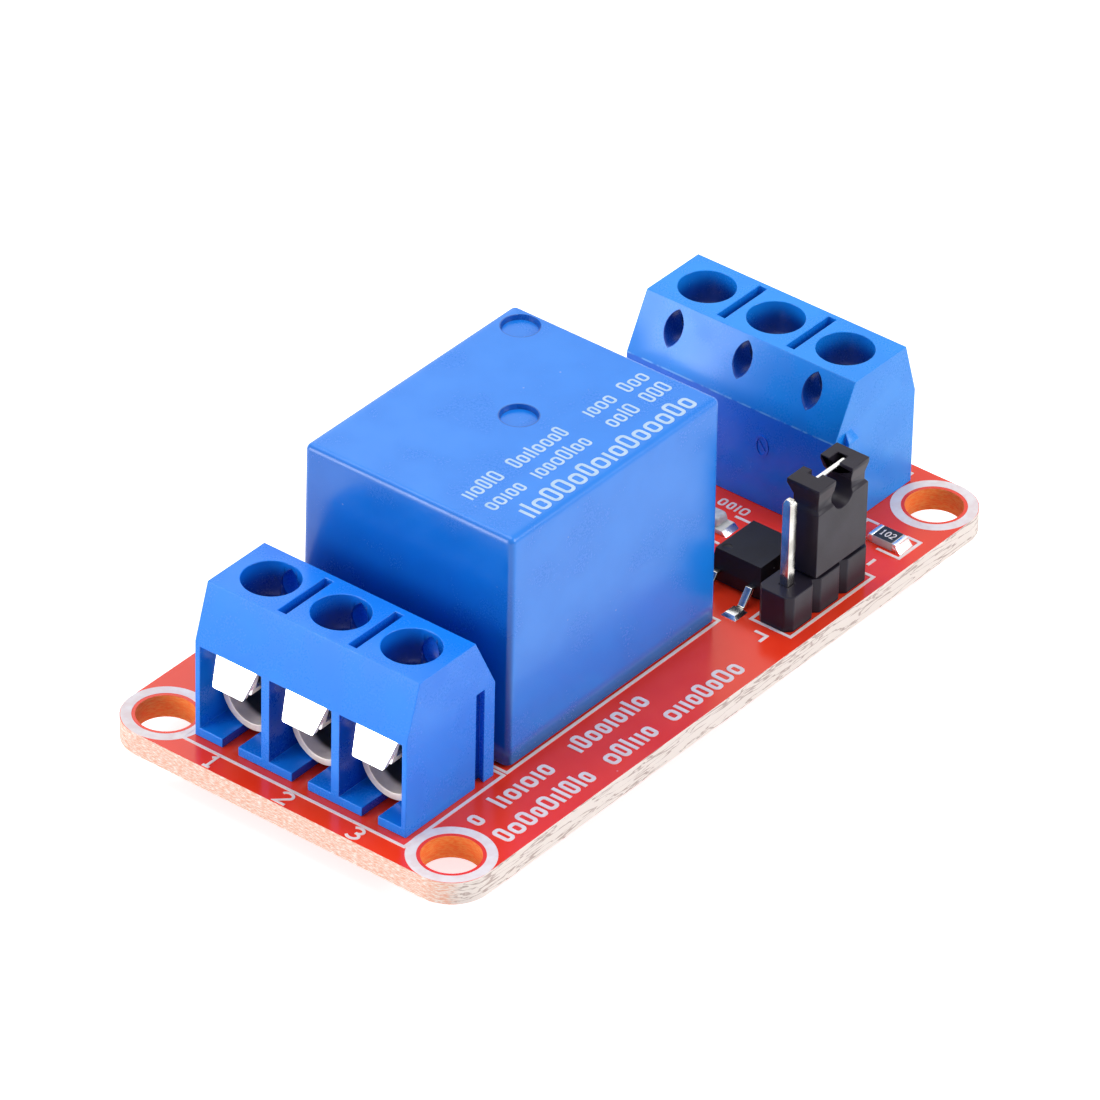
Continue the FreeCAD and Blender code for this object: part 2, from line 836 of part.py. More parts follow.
def small_lead():
    return gull_lead(
        small_lead_width, small_lead_thickness, small_lead_height, small_lead_run, small_lead_drop, small_lead_reach
    )


def transistor_lead_places():
    front = transistor_y - transistor_width / 2
    back = transistor_y + transistor_width / 2
    half = transistor_lead_spacing / 2
    return [
        (transistor_x - half, front, -90),
        (transistor_x + half, front, -90),
        (transistor_x, back, 90),
    ]


def diode_lead_places():
    half = diode_length / 2
    return [(diode_x + half, diode_y, 0), (diode_x - half, diode_y, 180)]


def small_body(length_x, length_y, high, x, y):
    band = small_lead_thickness * lead_band
    body = moulded_body(length_x, length_y, small_bottom, high, small_lead_height, band, small_draft)
    return at(body, x, y)


def chip_end_caps(x, y, height):
    half_x = chip_width / 2
    half_y = chip_length / 2
    caps = []
    for side in (-1, 1):
        ends = sorted([y + side * half_y, y + side * (half_y - chip_cap_length)])
        caps.append(box(x - half_x, x + half_x, ends[0], ends[1], board_top, board_top + height))
    return caps


def chip_middle(x, y, height):
    half_x = chip_width / 2
    half_y = chip_length / 2 - chip_cap_length
    return box(x - half_x, x + half_x, y - half_y, y + half_y, board_top, board_top + height)


def lamp_lens(x, y):
    half_x = chip_width / 2
    half_y = lamp_lens_length / 2
    low = board_top + lamp_base_height
    return frustum(x - half_x, x + half_x, y - half_y, y + half_y, low, board_top + lamp_height, lamp_lens_draft)


# A wedge of solder against each end of a chip
def chip_fillets(x, y, height):
    half_x = chip_width / 2
    wedges = []
    for side in (-1, 1):
        end = y + side * chip_length / 2
        profile = [
            (x - half_x, end, board_top),
            (x - half_x, end + side * fillet_reach, board_top),
            (x - half_x, end, board_top + height),
        ]
        wedges.append(prism(profile, (chip_width, 0, 0)))
    return wedges


def lead_pad(width, reach, length, lead):
    half = width / 2 + pad_margin
    x1 = reach + pad_margin
    x0 = x1 - length
    return frustum(x0, x1, -half, half, board_top, board_top + pad_height, pad_slope).cut(lead)


def surface_solder():
    pieces = []
    for x, y in resistor_places:
        pieces += chip_fillets(x, y, fillet_height)
    for x, y in lamp_places:
        pieces += chip_fillets(x, y, lamp_base_height)
    opto_pad = lead_pad(opto_lead_width, opto_lead_reach, opto_pad_length, opto_lead())
    pieces += [at(opto_pad, *place) for place in opto_lead_places()]
    small_pad = lead_pad(small_lead_width, small_lead_reach, small_pad_length, small_lead())
    small_places = transistor_lead_places() + diode_lead_places()
    pieces += [at(small_pad, *place) for place in small_places]
    return Part.makeCompound(pieces)


block_places = {
    "output": (output_face_x, output_centre_y, 0),
    "input": (input_face_x, input_centre_y, 180),
}

nodes = {
    "circuit_board": circuit_board(),
    "solder_joints": solder_joints(),
    "surface_solder": surface_solder(),
}

for block, place in block_places.items():
    nodes[block + "_housing"] = at(terminal_housing(), *place)
    for number, offset in enumerate(pole_offsets, start=1):
        nodes[f"{block}_clamp_{number}"] = at(terminal_clamp(offset), *place)
        nodes[f"{block}_guard_{number}"] = at(terminal_guard(offset), *place)
        nodes[f"{block}_screw_{number}"] = at(terminal_screw(offset), *place)

relay_parts = {
    "relay_cover": relay_cover(),
    "relay_base": relay_base(),
    "relay_yoke": relay_yoke(),
    "relay_core": relay_core(),
    "relay_bobbin": relay_bobbin(),
    "relay_coil": relay_coil(),
    "relay_armature": relay_armature(),
    "relay_moving_contact": relay_moving_contact(),
    "relay_open_contact": fixed_contact(1, open_contact_top - contact_tab_thickness),
    "relay_closed_contact": fixed_contact(-1, closed_contact_bottom()),
    "relay_coil_pins": relay_coil_pins(),
}
for name, shape in relay_parts.items():
    nodes[name] = at(shape, relay_x, relay_y)

nodes["header_base"] = header_base()
for number in range(header_count):
    nodes[f"header_pin_{number + 1}"] = header_pin(number)
nodes["jumper_cap"] = jumper_cap()
nodes["jumper_clip"] = jumper_clip()

nodes["optocoupler_body"] = optocoupler_body()
nodes["optocoupler_leads"] = optocoupler_leads()
nodes["transistor_body"] = small_body(
    transistor_length, transistor_width, transistor_top, transistor_x, transistor_y
)
nodes["transistor_leads"] = Part.makeCompound([at(small_lead(), *p) for p in transistor_lead_places()])
nodes["flyback_diode_body"] = small_body(diode_length, diode_width, diode_top, diode_x, diode_y)
nodes["flyback_diode_leads"] = Part.makeCompound([at(small_lead(), *p) for p in diode_lead_places()])

end_caps = []
for number, (x, y) in enumerate(resistor_places, start=1):
    nodes[f"resistor_{number}"] = chip_middle(x, y, chip_height)
    end_caps += chip_end_caps(x, y, chip_height)
nodes["resistor_end_caps"] = Part.makeCompound(end_caps)

for name, (x, y) in zip(("power_lamp", "switched_lamp"), lamp_places):
    nodes[name + "_base"] = fuse_all([chip_middle(x, y, lamp_base_height)] + chip_end_caps(x, y, lamp_base_height))
    nodes[name + "_lens"] = lamp_lens(x, y)

os.makedirs("parts", exist_ok=True)
for name, shape in nodes.items():
    shape.exportStep("parts/" + name + ".step")
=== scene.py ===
import bpy
import bmesh
import math
import numpy as np
from mathutils import Matrix


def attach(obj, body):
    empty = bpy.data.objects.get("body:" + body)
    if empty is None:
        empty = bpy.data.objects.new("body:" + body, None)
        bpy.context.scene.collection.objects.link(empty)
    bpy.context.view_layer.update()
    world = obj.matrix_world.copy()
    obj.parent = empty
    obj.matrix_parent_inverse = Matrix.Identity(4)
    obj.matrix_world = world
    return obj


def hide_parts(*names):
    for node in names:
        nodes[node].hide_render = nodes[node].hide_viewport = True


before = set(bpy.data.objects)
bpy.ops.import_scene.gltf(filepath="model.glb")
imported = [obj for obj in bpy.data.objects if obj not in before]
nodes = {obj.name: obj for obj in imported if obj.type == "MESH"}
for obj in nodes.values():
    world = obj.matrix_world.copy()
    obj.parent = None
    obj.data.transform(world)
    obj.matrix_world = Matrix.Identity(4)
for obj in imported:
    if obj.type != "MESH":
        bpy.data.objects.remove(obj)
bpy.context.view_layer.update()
mm = 0.001
boardTop = 3.0 * mm
print("frame loaded:", len(nodes), "nodes")


# shader helpers: put() makes a node, sets its values and links any socket that is passed in
def put(tree, kind, inputs=None, **settings):
    node = tree.nodes.new(kind)
    for key, value in settings.items():
        setattr(node, key, value)
    for key, value in (inputs or {}).items():
        socket = node.inputs[key]
        if isinstance(value, bpy.types.NodeSocket):
            tree.links.new(value, socket)
        else:
            socket.default_value = value
    return node


def maths(tree, operation, a, b=0.0):
    return put(tree, "ShaderNodeMath", {0: a, 1: b}, operation=operation).outputs[0]


def times(tree, product, *factors):
    for factor in factors:
        product = maths(tree, "MULTIPLY", product, factor)
    return product


def absolute(tree, value):
    return maths(tree, "ABSOLUTE", value)


# distance in the board's plane: the root of dx squared plus dy squared
def flatDistance(tree, dx, dy):
    return maths(tree, "SQRT", maths(tree, "ADD", times(tree, dx, dx), times(tree, dy, dy)))


def ramp(tree, value, low, high, outLow=0.0, outHigh=1.0):
    node = put(tree, "ShaderNodeMapRange", {
        "Value": value, "From Min": low, "From Max": high, "To Min": outLow, "To Max": outHigh,
    }, interpolation_type="SMOOTHSTEP")
    return node.outputs["Result"]


def tint(tree, factor, a, b, blend="MIX"):
    node = put(tree, "ShaderNodeMix", data_type="RGBA", blend_type=blend)
    for index, value in ((0, factor), (6, a), (7, b)):
        if isinstance(value, bpy.types.NodeSocket):
            tree.links.new(value, node.inputs[index])
        else:
            node.inputs[index].default_value = value
    return node.outputs[2]


def rgb(r, g, b):
    return (r, g, b, 1.0)


# a colour multiplied by a shade
def deepened(tree, colour, shade):
    return tint(tree, 1.0, colour, rgb(*shade), "MULTIPLY")


def objectPlace(tree):
    return put(tree, "ShaderNodeTexCoord").outputs["Object"]


def split(tree, vector):
    return list(put(tree, "ShaderNodeSeparateXYZ", {"Vector": vector}).outputs)


def stretched(tree, vector, factors):
    return put(tree, "ShaderNodeVectorMath", {0: vector, 1: factors}, operation="MULTIPLY").outputs[0]


def newGroup(name, inputs, outputs):
    group = bpy.data.node_groups.new(name, "ShaderNodeTree")
    for label, kind, value in inputs:
        socket = group.interface.new_socket(label, in_out="INPUT", socket_type=kind)
        socket.default_value = value
    for label, kind in outputs:
        group.interface.new_socket(label, in_out="OUTPUT", socket_type=kind)
    source = group.nodes.new("NodeGroupInput")
    sink = group.nodes.new("NodeGroupOutput")
    return group, source, sink


def place(tree, group, **values):
    node = tree.nodes.new("ShaderNodeGroup")
    node.node_tree = group
    for key, value in values.items():
        node.inputs[key].default_value = value
    return node


skinLook = {
    "grainShare": 0.35, "waveShare": 0.65, "waveFrom": 0.3, "waveTo": 0.7,
    "speckInner": 0.05, "speckOuter": 0.11, "speckFrom": 0.955, "speckTo": 0.965,
    "streakShare": 0.6, "dentShare": 0.3, "tarnishFrom": 0.35, "tarnishTo": 0.68,
}


# moulded skin: fine grain and slow waves of a moulded face, with sparse pale specks of dust
def makeMouldedSkin():
    look = skinLook
    group, source, sink = newGroup(
        "mouldedSkin",
        [("Grain", "NodeSocketFloat", 9000.0), ("Waves", "NodeSocketFloat", 350.0),
         ("Specks", "NodeSocketFloat", 1500.0)],
        [("Height", "NodeSocketFloat"), ("Cloud", "NodeSocketFloat"), ("Dust", "NodeSocketFloat")],
    )
    where = objectPlace(group)
    scale = source.outputs
    grain = put(group, "ShaderNodeTexNoise", {"Vector": where, "Scale": scale["Grain"], "Detail": 3.0})
    waves = put(group, "ShaderNodeTexNoise", {"Vector": where, "Scale": scale["Waves"], "Detail": 2.0})
    specks = put(group, "ShaderNodeTexVoronoi", {
        "Vector": where, "Scale": scale["Specks"], "Randomness": 1.0,
    })
    pick = put(group, "ShaderNodeTexWhiteNoise", {"Vector": specks.outputs["Position"]},
               noise_dimensions="3D")
    size = ramp(group, specks.outputs["Distance"], look["speckInner"], look["speckOuter"], 1.0, 0.0)
    rare = ramp(group, pick.outputs["Value"], look["speckFrom"], look["speckTo"])
    height = maths(group, "ADD", times(group, grain.outputs["Fac"], look["grainShare"]),
                   times(group, waves.outputs["Fac"], look["waveShare"]))
    cloud = ramp(group, waves.outputs["Fac"], look["waveFrom"], look["waveTo"])
    group.links.new(height, sink.inputs["Height"])
    group.links.new(cloud, sink.inputs["Cloud"])
    group.links.new(times(group, size, rare), sink.inputs["Dust"])
    return group


# metal skin: drawn streaks along one axis, a slow tarnish cloud and small dents
def makeMetalSkin():
    look = skinLook
    group, source, sink = newGroup(
        "metalSkin",
        [("Streaks", "NodeSocketFloat", 4000.0), ("Cloud", "NodeSocketFloat", 900.0),
         ("Along", "NodeSocketVector", (1.0, 1.0, 0.08))],
        [("Height", "NodeSocketFloat"), ("Tarnish", "NodeSocketFloat")],
    )
    where = objectPlace(group)
    scale = source.outputs
    drawn = stretched(group, where, scale["Along"])
    streaks = put(group, "ShaderNodeTexNoise", {"Vector": drawn, "Scale": scale["Streaks"], "Detail": 4.0})
    cloud = put(group, "ShaderNodeTexNoise", {"Vector": where, "Scale": scale["Cloud"], "Detail": 3.0})
    dents = put(group, "ShaderNodeTexVoronoi", {"Vector": where, "Scale": scale["Cloud"]})
    height = maths(group, "ADD", times(group, streaks.outputs["Fac"], look["streakShare"]),
                   times(group, dents.outputs["Distance"], look["dentShare"]))
    tarnish = ramp(group, cloud.outputs["Fac"], look["tarnishFrom"], look["tarnishTo"])
    group.links.new(height, sink.inputs["Height"])
    group.links.new(tarnish, sink.inputs["Tarnish"])
    return group


mouldedSkin = makeMouldedSkin()
metalSkin = makeMetalSkin()


def shaderOf(tree):
    return next(n for n in tree.nodes if n.type == "BSDF_PRINCIPLED")


def newMaterial(name):
    mat = bpy.data.materials.new(name)
    mat.use_nodes = True
    return mat, mat.node_tree, shaderOf(mat.node_tree)


def setShader(shader, **values):
    for key, value in values.items():
        shader.inputs[key].default_value = value


def addBump(tree, shader, height, strength, distance):
    bump = put(tree, "ShaderNodeBump", {"Height": height, "Strength": strength, "Distance": distance})
    tree.links.new(bump.outputs["Normal"], shader.inputs["Normal"])


def linkColour(tree, shader, colour):
    tree.links.new(colour, shader.inputs["Base Color"])


# roughness that follows a skin's height between two values
def linkRoughness(tree, shader, height, lowHeight, highHeight, low, high):
    tree.links.new(ramp(tree, height, lowHeight, highHeight, low, high), shader.inputs["Roughness"])


# a moulded plastic: colour drifts a little with the mould's flow, dust sits on it as pale specks
def makePlastic(name, colour, shade, roughness, bump=0.25, grain=9000.0, dust=0.5, specular=0.5):
    mat, tree, shader = newMaterial(name)
    skin = place(tree, mouldedSkin, Grain=grain)
    base = tint(tree, skin.outputs["Cloud"], rgb(*colour), rgb(*shade))
    dusty = times(tree, skin.outputs["Dust"], dust)
    linkColour(tree, shader, tint(tree, dusty, base, rgb(0.75, 0.78, 0.8)))
    linkRoughness(tree, shader, skin.outputs["Height"], 0.3, 0.7, roughness * 0.82, roughness * 1.2)
    shader.inputs["Specular IOR Level"].default_value = specular
    addBump(tree, shader, skin.outputs["Height"], bump, 0.02 * mm)
    return mat


# a bare or plated metal: streaked, with duller tarnished patches
def makeMetal(name, colour, dull, roughness, along=(1.0, 1.0, 0.08), bump=0.3, streaks=4000.0):
    mat, tree, shader = newMaterial(name)
    skin = place(tree, metalSkin, Streaks=streaks, Along=along)
    linkColour(tree, shader, tint(tree, skin.outputs["Tarnish"], rgb(*colour), rgb(*dull)))
    linkRoughness(tree, shader, skin.outputs["Height"], 0.2, 0.8, roughness * 0.7, roughness * 1.35)
    setShader(shader, Metallic=1.0)
    addBump(tree, shader, skin.outputs["Height"], bump, 0.01 * mm)
    return mat


relayBlue = makePlastic("relayBlue", (0.006, 0.23, 0.86), (0.005, 0.21, 0.81), 0.24,
                        bump=0.06, dust=0.25, specular=0.55)
jumperBlack = makePlastic("jumperBlack", (0.022, 0.018, 0.03), (0.016, 0.013, 0.021), 0.34,
                          grain=14000.0, dust=0.3, specular=0.24)
resinBlack = makePlastic("resinBlack", (0.014, 0.0135, 0.02), (0.01, 0.0095, 0.014), 0.45,
                         bump=0.5, grain=22000.0, dust=1.0, specular=0.25)
bobbinCream = makePlastic("bobbinCream", (0.62, 0.56, 0.44), (0.55, 0.5, 0.4), 0.45)
lampWhite = makePlastic("lampWhite", (0.72, 0.72, 0.66), (0.65, 0.64, 0.58), 0.5)
chipCeramic = makePlastic("chipCeramic", (0.66, 0.64, 0.62), (0.58, 0.56, 0.54), 0.5, bump=0.3, dust=0.2)
tinnedMetal = makeMetal("tinnedMetal", (0.72, 0.7, 0.66), (0.5, 0.48, 0.44), 0.2)
brightTin = makeMetal("brightTin", (0.97, 0.965, 0.95), (0.93, 0.92, 0.9), 0.22,
                      along=(1.0, 0.1, 1.0), bump=0.12)
softIron = makeMetal("softIron", (0.55, 0.53, 0.5), (0.42, 0.4, 0.37), 0.35)
solderMetal = makeMetal("solderMetal", (0.95, 0.95, 0.95), (0.8, 0.8, 0.8), 0.26,
                        along=(1.0, 1.0, 1.0), bump=0.9, streaks=1800.0)
springBrass = makeMetal("springBrass", (0.78, 0.56, 0.25), (0.62, 0.43, 0.18), 0.25)
print("plain materials ready")


# mesh helpers
def finishPiece(obj, body, mat, replaced=()):
    obj.data.materials.clear()
    obj.data.materials.append(mat)
    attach(obj, body)
    if replaced:
        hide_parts(*replaced)
    return obj


def addObject(name, mesh):
    mesh.polygons.foreach_set("use_smooth", np.ones(len(mesh.polygons), bool))
    obj = bpy.data.objects.new(name, mesh)
    bpy.context.scene.collection.objects.link(obj)
    return obj


def addPiece(name, verts, faces, sharp=35.0):
    mesh = bpy.data.meshes.new(name)
    mesh.from_pydata(np.asarray(verts, float).tolist(), [], [list(map(int, f)) for f in faces])
    obj = addObject(name, mesh)
    mesh.set_sharp_from_angle(angle=math.radians(sharp))
    mesh.update()
    return obj


# faces of a rows by columns grid of points; either direction may close on itself
def gridFaces(rows, cols, closeRows=False, closeCols=False):
    r = np.arange(rows if closeRows else rows - 1)
    c = np.arange(cols if closeCols else cols - 1)
    i, j = np.meshgrid(r, c, indexing="ij")
    i2 = (i + 1) % rows
    j2 = (j + 1) % cols
    quads = np.stack([i * cols + j, i2 * cols + j, i2 * cols + j2, i * cols + j2], axis=-1)
    return quads.reshape(-1, 4)


# joins several (points, faces) shells into one mesh
def joinShells(shells):
    points = []
    faces = []
    start = 0
    for verts, quads in shells:
        points.append(np.asarray(verts, float))
        faces += [[int(k) + start for k in quad] for quad in quads]
        start += len(verts)
    return np.concatenate(points), faces


# a turned shape: radius and height along a profile, carried round a circle
def turned(profile, centre, steps):
    profile = np.asarray(profile, float)
    angle = np.linspace(0, 2 * math.pi, steps, endpoint=False)
    x = centre[0] + profile[:, 0, None] * np.cos(angle)[None, :]
    y = centre[1] + profile[:, 0, None] * np.sin(angle)[None, :]
    z = np.broadcast_to(profile[:, 1, None], x.shape)
    verts = np.stack([x, y, z], axis=-1).reshape(-1, 3)
    return verts, gridFaces(len(profile), steps, closeCols=True)[:, ::-1]


# a flat ribbon: the path is offset to both sides by half the width along its mitred normals, then given
# a thickness; the section is a rectangle and the ends are capped unless the path closes
def ribbon(path, width, z0, z1, closed=False):
    path = np.asarray(path, float)
    ahead = np.roll(path, -1, axis=0) - path
    behind = path - np.roll(path, 1, axis=0)
    if not closed:
        ahead[-1] = behind[-1]
        behind[0] = ahead[0]
    ahead /= np.linalg.norm(ahead, axis=1, keepdims=True)
    behind /= np.linalg.norm(behind, axis=1, keepdims=True)
    normal = np.stack([-(ahead + behind)[:, 1], (ahead + behind)[:, 0]], axis=1)
    normal /= np.linalg.norm(normal, axis=1, keepdims=True)
    aheadNormal = np.stack([-ahead[:, 1], ahead[:, 0]], axis=1)
    mitre = np.clip((normal * aheadNormal).sum(axis=1), 0.5, 1.0)
    shift = normal * (width / 2 / mitre)[:, None]
    low = np.full(len(path), z0)
    high = np.full(len(path), z1)
    left = path + shift
    right = path - shift
    rows = np.stack([
        np.column_stack([right, low]), np.column_stack([right, high]),
        np.column_stack([left, high]), np.column_stack([left, low]),
    ], axis=1)
    faces = [list(f) for f in gridFaces(len(path), 4, closeRows=closed, closeCols=True)[:, ::-1]]
    if not closed:
        last = (len(path) - 1) * 4
        faces += [[0, 1, 2, 3], [last + 3, last + 2, last + 1, last]]
    return rows.reshape(-1, 3), faces


# points on an ellipse between two angles in degrees, and all round it
def arc(cx, cy, rx, ry, start, end, steps):
    a = np.radians(np.linspace(start, end, steps))
    return np.column_stack([cx + rx * np.cos(a), cy + ry * np.sin(a)])


def loop(cx, cy, rx, ry, steps):
    a = np.linspace(0, 2 * math.pi, steps, endpoint=False)
    return np.column_stack([cx + rx * np.cos(a), cy + ry * np.sin(a)])


# joins points that lie on each other and, where asked, turns all faces outwards
def mergePoints(mesh, distance, turnOut=False):
    work = bmesh.new()
    work.from_mesh(mesh)
    bmesh.ops.remove_doubles(work, verts=work.verts, dist=distance)
    if turnOut:
        bmesh.ops.recalc_face_normals(work, faces=work.faces)
    work.to_mesh(mesh)
    work.free()


softenLook = {"merge": 0.002 * mm, "flatAngle": 0.6, "bevelFrom": 32.0, "flatWeight": 95}


# a copy of a CAD node with its flat faces joined and its edges rounded, so that they catch the light
def softened(node, width, body, mat, segments=2):
    look = softenLook
    mesh = bpy.data.meshes.new(node + "Soft")
    work = bmesh.new()
    work.from_mesh(nodes[node].data)
    bmesh.ops.remove_doubles(work, verts=work.verts, dist=look["merge"])
    bmesh.ops.dissolve_limit(work, angle_limit=math.radians(look["flatAngle"]),
                             verts=work.verts, edges=work.edges)
    work.to_mesh(mesh)
    work.free()
    for label in ("custom_normal", "sharp_edge", "sharp_face"):
        if label in mesh.attributes:
            mesh.attributes.remove(mesh.attributes[label])
    obj = addObject(node + "Soft", mesh)
    edge = obj.modifiers.new("edges", "BEVEL")
    edge.width = width * mm
    edge.segments = segments
    edge.limit_method = "ANGLE"
    edge.angle_limit = math.radians(look["bevelFrom"])
    edge.use_clamp_overlap = True
    flats = obj.modifiers.new("flats", "WEIGHTED_NORMAL")
    flats.mode = "FACE_AREA"
    flats.weight = look["flatWeight"]
    return finishPiece(obj, body, mat, (node,))


def repaint(node, mat):
    nodes[node].data.materials.clear()
    nodes[node].data.materials.append(mat)


# circuit board: red solder mask on both faces, pale glass-fibre edges, orange-red hole walls
boardLook = {
    "holeX": 22.4, "holeY": 10.4, "holeRadius": 1.75, "bevel": 0.05,
    "mask": (0.93, 0.038, 0.011), "maskOverCopper": (0.97, 0.052, 0.017), "dust": (0.9, 0.7, 0.65),
    "edge": (0.86, 0.44, 0.3), "edgeFibre": (0.95, 0.86, 0.8), "edgeLine": (0.4, 0.27, 0.24),
    "holeWall": (0.95, 0.17, 0.02), "holeFibre": (0.97, 0.34, 0.07),
    "maskRoughness": 0.2, "edgeRoughness": 0.75, "fibreScale": 2600.0, "layerScale": 1100.0,
}


def makeBoardMaterial():
    look = boardLook
    mat, tree, shader = newMaterial("boardRed")
    where = objectPlace(tree)
    x, y, _ = split(tree, where)
    _, facingY, facingZ = split(tree, put(tree, "ShaderNodeNewGeometry").outputs["Normal"])
    flat = ramp(tree, absolute(tree, facingZ), 0.6, 0.75)
    # distance to the nearest mounting hole: fold both axes to one corner first
    dx = maths(tree, "SUBTRACT", absolute(tree, x), look["holeX"] * mm)
    dy = maths(tree, "SUBTRACT", absolute(tree, y), look["holeY"] * mm)
    nearHole = (look["holeRadius"] + 0.15) * mm, (look["holeRadius"] + 0.25) * mm
    inHole = ramp(tree, flatDistance(tree, dx, dy), *nearHole, 1.0, 0.0)
    skin = place(tree, mouldedSkin, Grain=5000.0, Waves=240.0, Specks=1300.0)
    fibres = put(tree, "ShaderNodeTexNoise", {
        "Vector": stretched(tree, where, (1.0, 1.0, 6.0)), "Scale": look["fibreScale"],
        "Detail": 5.0, "Roughness": 0.7,
    })
    speckle = ramp(tree, fibres.outputs["Fac"], 0.42, 0.62)
    mask = tint(tree, skin.outputs["Cloud"], rgb(*look["mask"]), rgb(*look["maskOverCopper"]))
    mask = tint(tree, times(tree, skin.outputs["Dust"], 0.4), mask, rgb(*look["dust"]))
    edge = tint(tree, speckle, rgb(*look["edge"]), rgb(*look["edgeFibre"]))
    # sawn glass layers on the long edges: dark lines where a noise drawn out along x passes its middle value
    layers = put(tree, "ShaderNodeTexNoise", {
        "Vector": stretched(tree, where, (0.3, 1.0, 2.6)), "Scale": look["layerScale"],
        "Detail": 3.0, "Distortion": 0.4,
    })
    fromMiddle = absolute(tree, maths(tree, "SUBTRACT", layers.outputs["Fac"], 0.5))
    line = ramp(tree, fromMiddle, 0.012, 0.035, 1.0, 0.0)
    longEdge = ramp(tree, absolute(tree, facingY), 0.5, 0.8)
    pale = tint(tree, times(tree, line, 0.7), rgb(*look["edgeFibre"]), rgb(*look["edgeLine"]))
    edge = tint(tree, longEdge, edge, pale)
    wall = tint(tree, speckle, rgb(*look["holeWall"]), rgb(*look["holeFibre"]))
    side = tint(tree, inHole, edge, wall)
    linkColour(tree, shader, tint(tree, flat, side, mask))
    linkRoughness(tree, shader, flat, 0.0, 1.0, look["edgeRoughness"], look["maskRoughness"])
    rawEdge = times(tree, speckle, ramp(tree, flat, 0.0, 1.0, 1.0, 0.0), 0.8)
    height = maths(tree, "ADD", times(tree, skin.outputs["Height"], 0.3), rawEdge)
    addBump(tree, shader, height, 0.35, 0.03 * mm)
    return mat


boardRed = makeBoardMaterial()
softened("circuit_board", boardLook["bevel"], "module", boardRed, segments=1)
print("board ready")


# print on the board: hole rings, part outlines, numbers at the terminals and rows of plain marks
def makeInkMaterial(name, colour, thin, roughness):
    mat, tree, shader = newMaterial(name)
    skin = place(tree, mouldedSkin, Grain=8000.0, Waves=1800.0)
    linkColour(tree, shader, tint(tree, skin.outputs["Cloud"], rgb(*colour), rgb(*thin)))
    linkRoughness(tree, shader, skin.outputs["Height"], 0.3, 0.7, roughness * 0.8, roughness * 1.2)
    addBump(tree, shader, skin.outputs["Height"], 0.3, 0.01 * mm)
    return mat


silkWhite = makeInkMaterial("silkWhite", (0.92, 0.84, 0.82), (0.86, 0.72, 0.7), 0.45)
relayInk = makeInkMaterial("relayPrint", (0.5, 0.66, 0.86), (0.42, 0.6, 0.82), 0.45)

# each outline is a path in mm and whether it closes; each row of marks has its ends in x, its y and its seed
silkLook = {
    "height": 0.03, "ringHeight": 0.012, "line": 0.2, "ringInner": 1.97, "ringOuter": 2.6, "ringSteps": 64,
    "digitX": -24.3, "digitHeight": 1.05, "digitWidth": 0.8, "digitStroke": 0.18,
    "digits": [("1", 5.4), ("2", 0.05), ("3", -5.1)],
    "outlines": {
        "outputBlock": ([(-23.55, -7.95), (-23.55, 8.25), (-14.75, 8.25), (-14.75, -7.95)], True),
        "inputBlock": ([(24.2, -7.4), (24.2, 7.2), (16.4, 7.2), (16.4, -7.4)], True),
        "relay": ([(-14.45, -7.94), (4.97, -7.94), (4.97, 7.6), (-14.45, 7.6)], True),
        "header": ([(6.3, -12.1), (14.2, -12.1), (14.2, -9.25), (6.3, -9.25)], True),
        "firstPinCorner": ([(5.5, -10.15), (5.5, -11.0), (4.8, -11.0)], False),
        "resistorFront": ([(16.65, -10.5), (16.65, -12.1), (18.75, -12.1), (18.75, -11.1)], False),
        "resistorBack": ([(16.64, -9.2), (16.64, -8.3), (18.7, -8.3), (18.7, -9.1)], False),
        "lampRight": ([(13.96, -2.2), (13.96, -3.4)], False),
        "lampLeft": ([(11.1, -1.6), (11.1, -3.2)], False),
        "headerEnd": ([(14.95, -11.1), (15.7, -11.1)], False),
    },
    "rows": [
        (-19.4, -18.6, -9.95, 3), (-17.2, -11.9, -9.95, 4), (-10.3, -3.5, -9.95, 5),
        (-19.5, -10.9, -12.15, 6), (-10.0, -5.2, -12.15, 7), (-4.5, 2.2, -12.15, 8),
    ],
    "rowHeight": 1.35, "rowStroke": 0.24, "rowMark": 0.78, "rowGap": 0.2,
    "lampRow": {"length": 2.6, "start": (14.3, -0.5), "seed": 11, "height": 0.95, "stroke": 0.13,
                "mark": 0.5, "gap": 0.16},
}
towardsFront = (0.0, -1.0)

# strokes of the digits in a unit box: points and whether the stroke closes
digitStrokes = {
    "0": [(arc(0.5, 0.5, 0.5, 0.5, 0, 342, 20), True)],
    "1": [(np.array([(0.2, 0.8), (0.5, 1.0), (0.5, 0.0)]), False),
          (np.array([(0.2, 0.0), (0.8, 0.0)]), False)],
    "2": [(np.concatenate([arc(0.5, 0.72, 0.46, 0.28, 165, -30, 12), [(0.04, 0.0), (1.0, 0.0)]]), False)],
    "3": [(arc(0.45, 0.75, 0.45, 0.25, 150, -90, 12), False),
          (arc(0.45, 0.26, 0.5, 0.26, 90, -150, 12), False)],
}
strokeStep = 0.01 * mm  # each stroke of a digit ends a little higher, so that no two tops lie in one plane


# the directions in which a print reads and in which it stands
def printAxes(along):
    along = np.asarray(along, float)
    return along, np.array([-along[1], along[0]])


# a digit at (x, y): each point of its strokes is carried along and up the print's two directions
def digit(sign, x, y, width, height, stroke, z0, z1, along):
    along, up = printAxes(along)
    shells = []
    for step, (points, closed) in enumerate(digitStrokes[sign]):
        local = (points[:, :1] - 0.5) * width * along + (points[:, 1:] - 0.5) * height * up
        shells.append(ribbon((local + (x, y)) * mm, stroke * mm, z0, z1 + step * strokeStep, closed))
    return shells


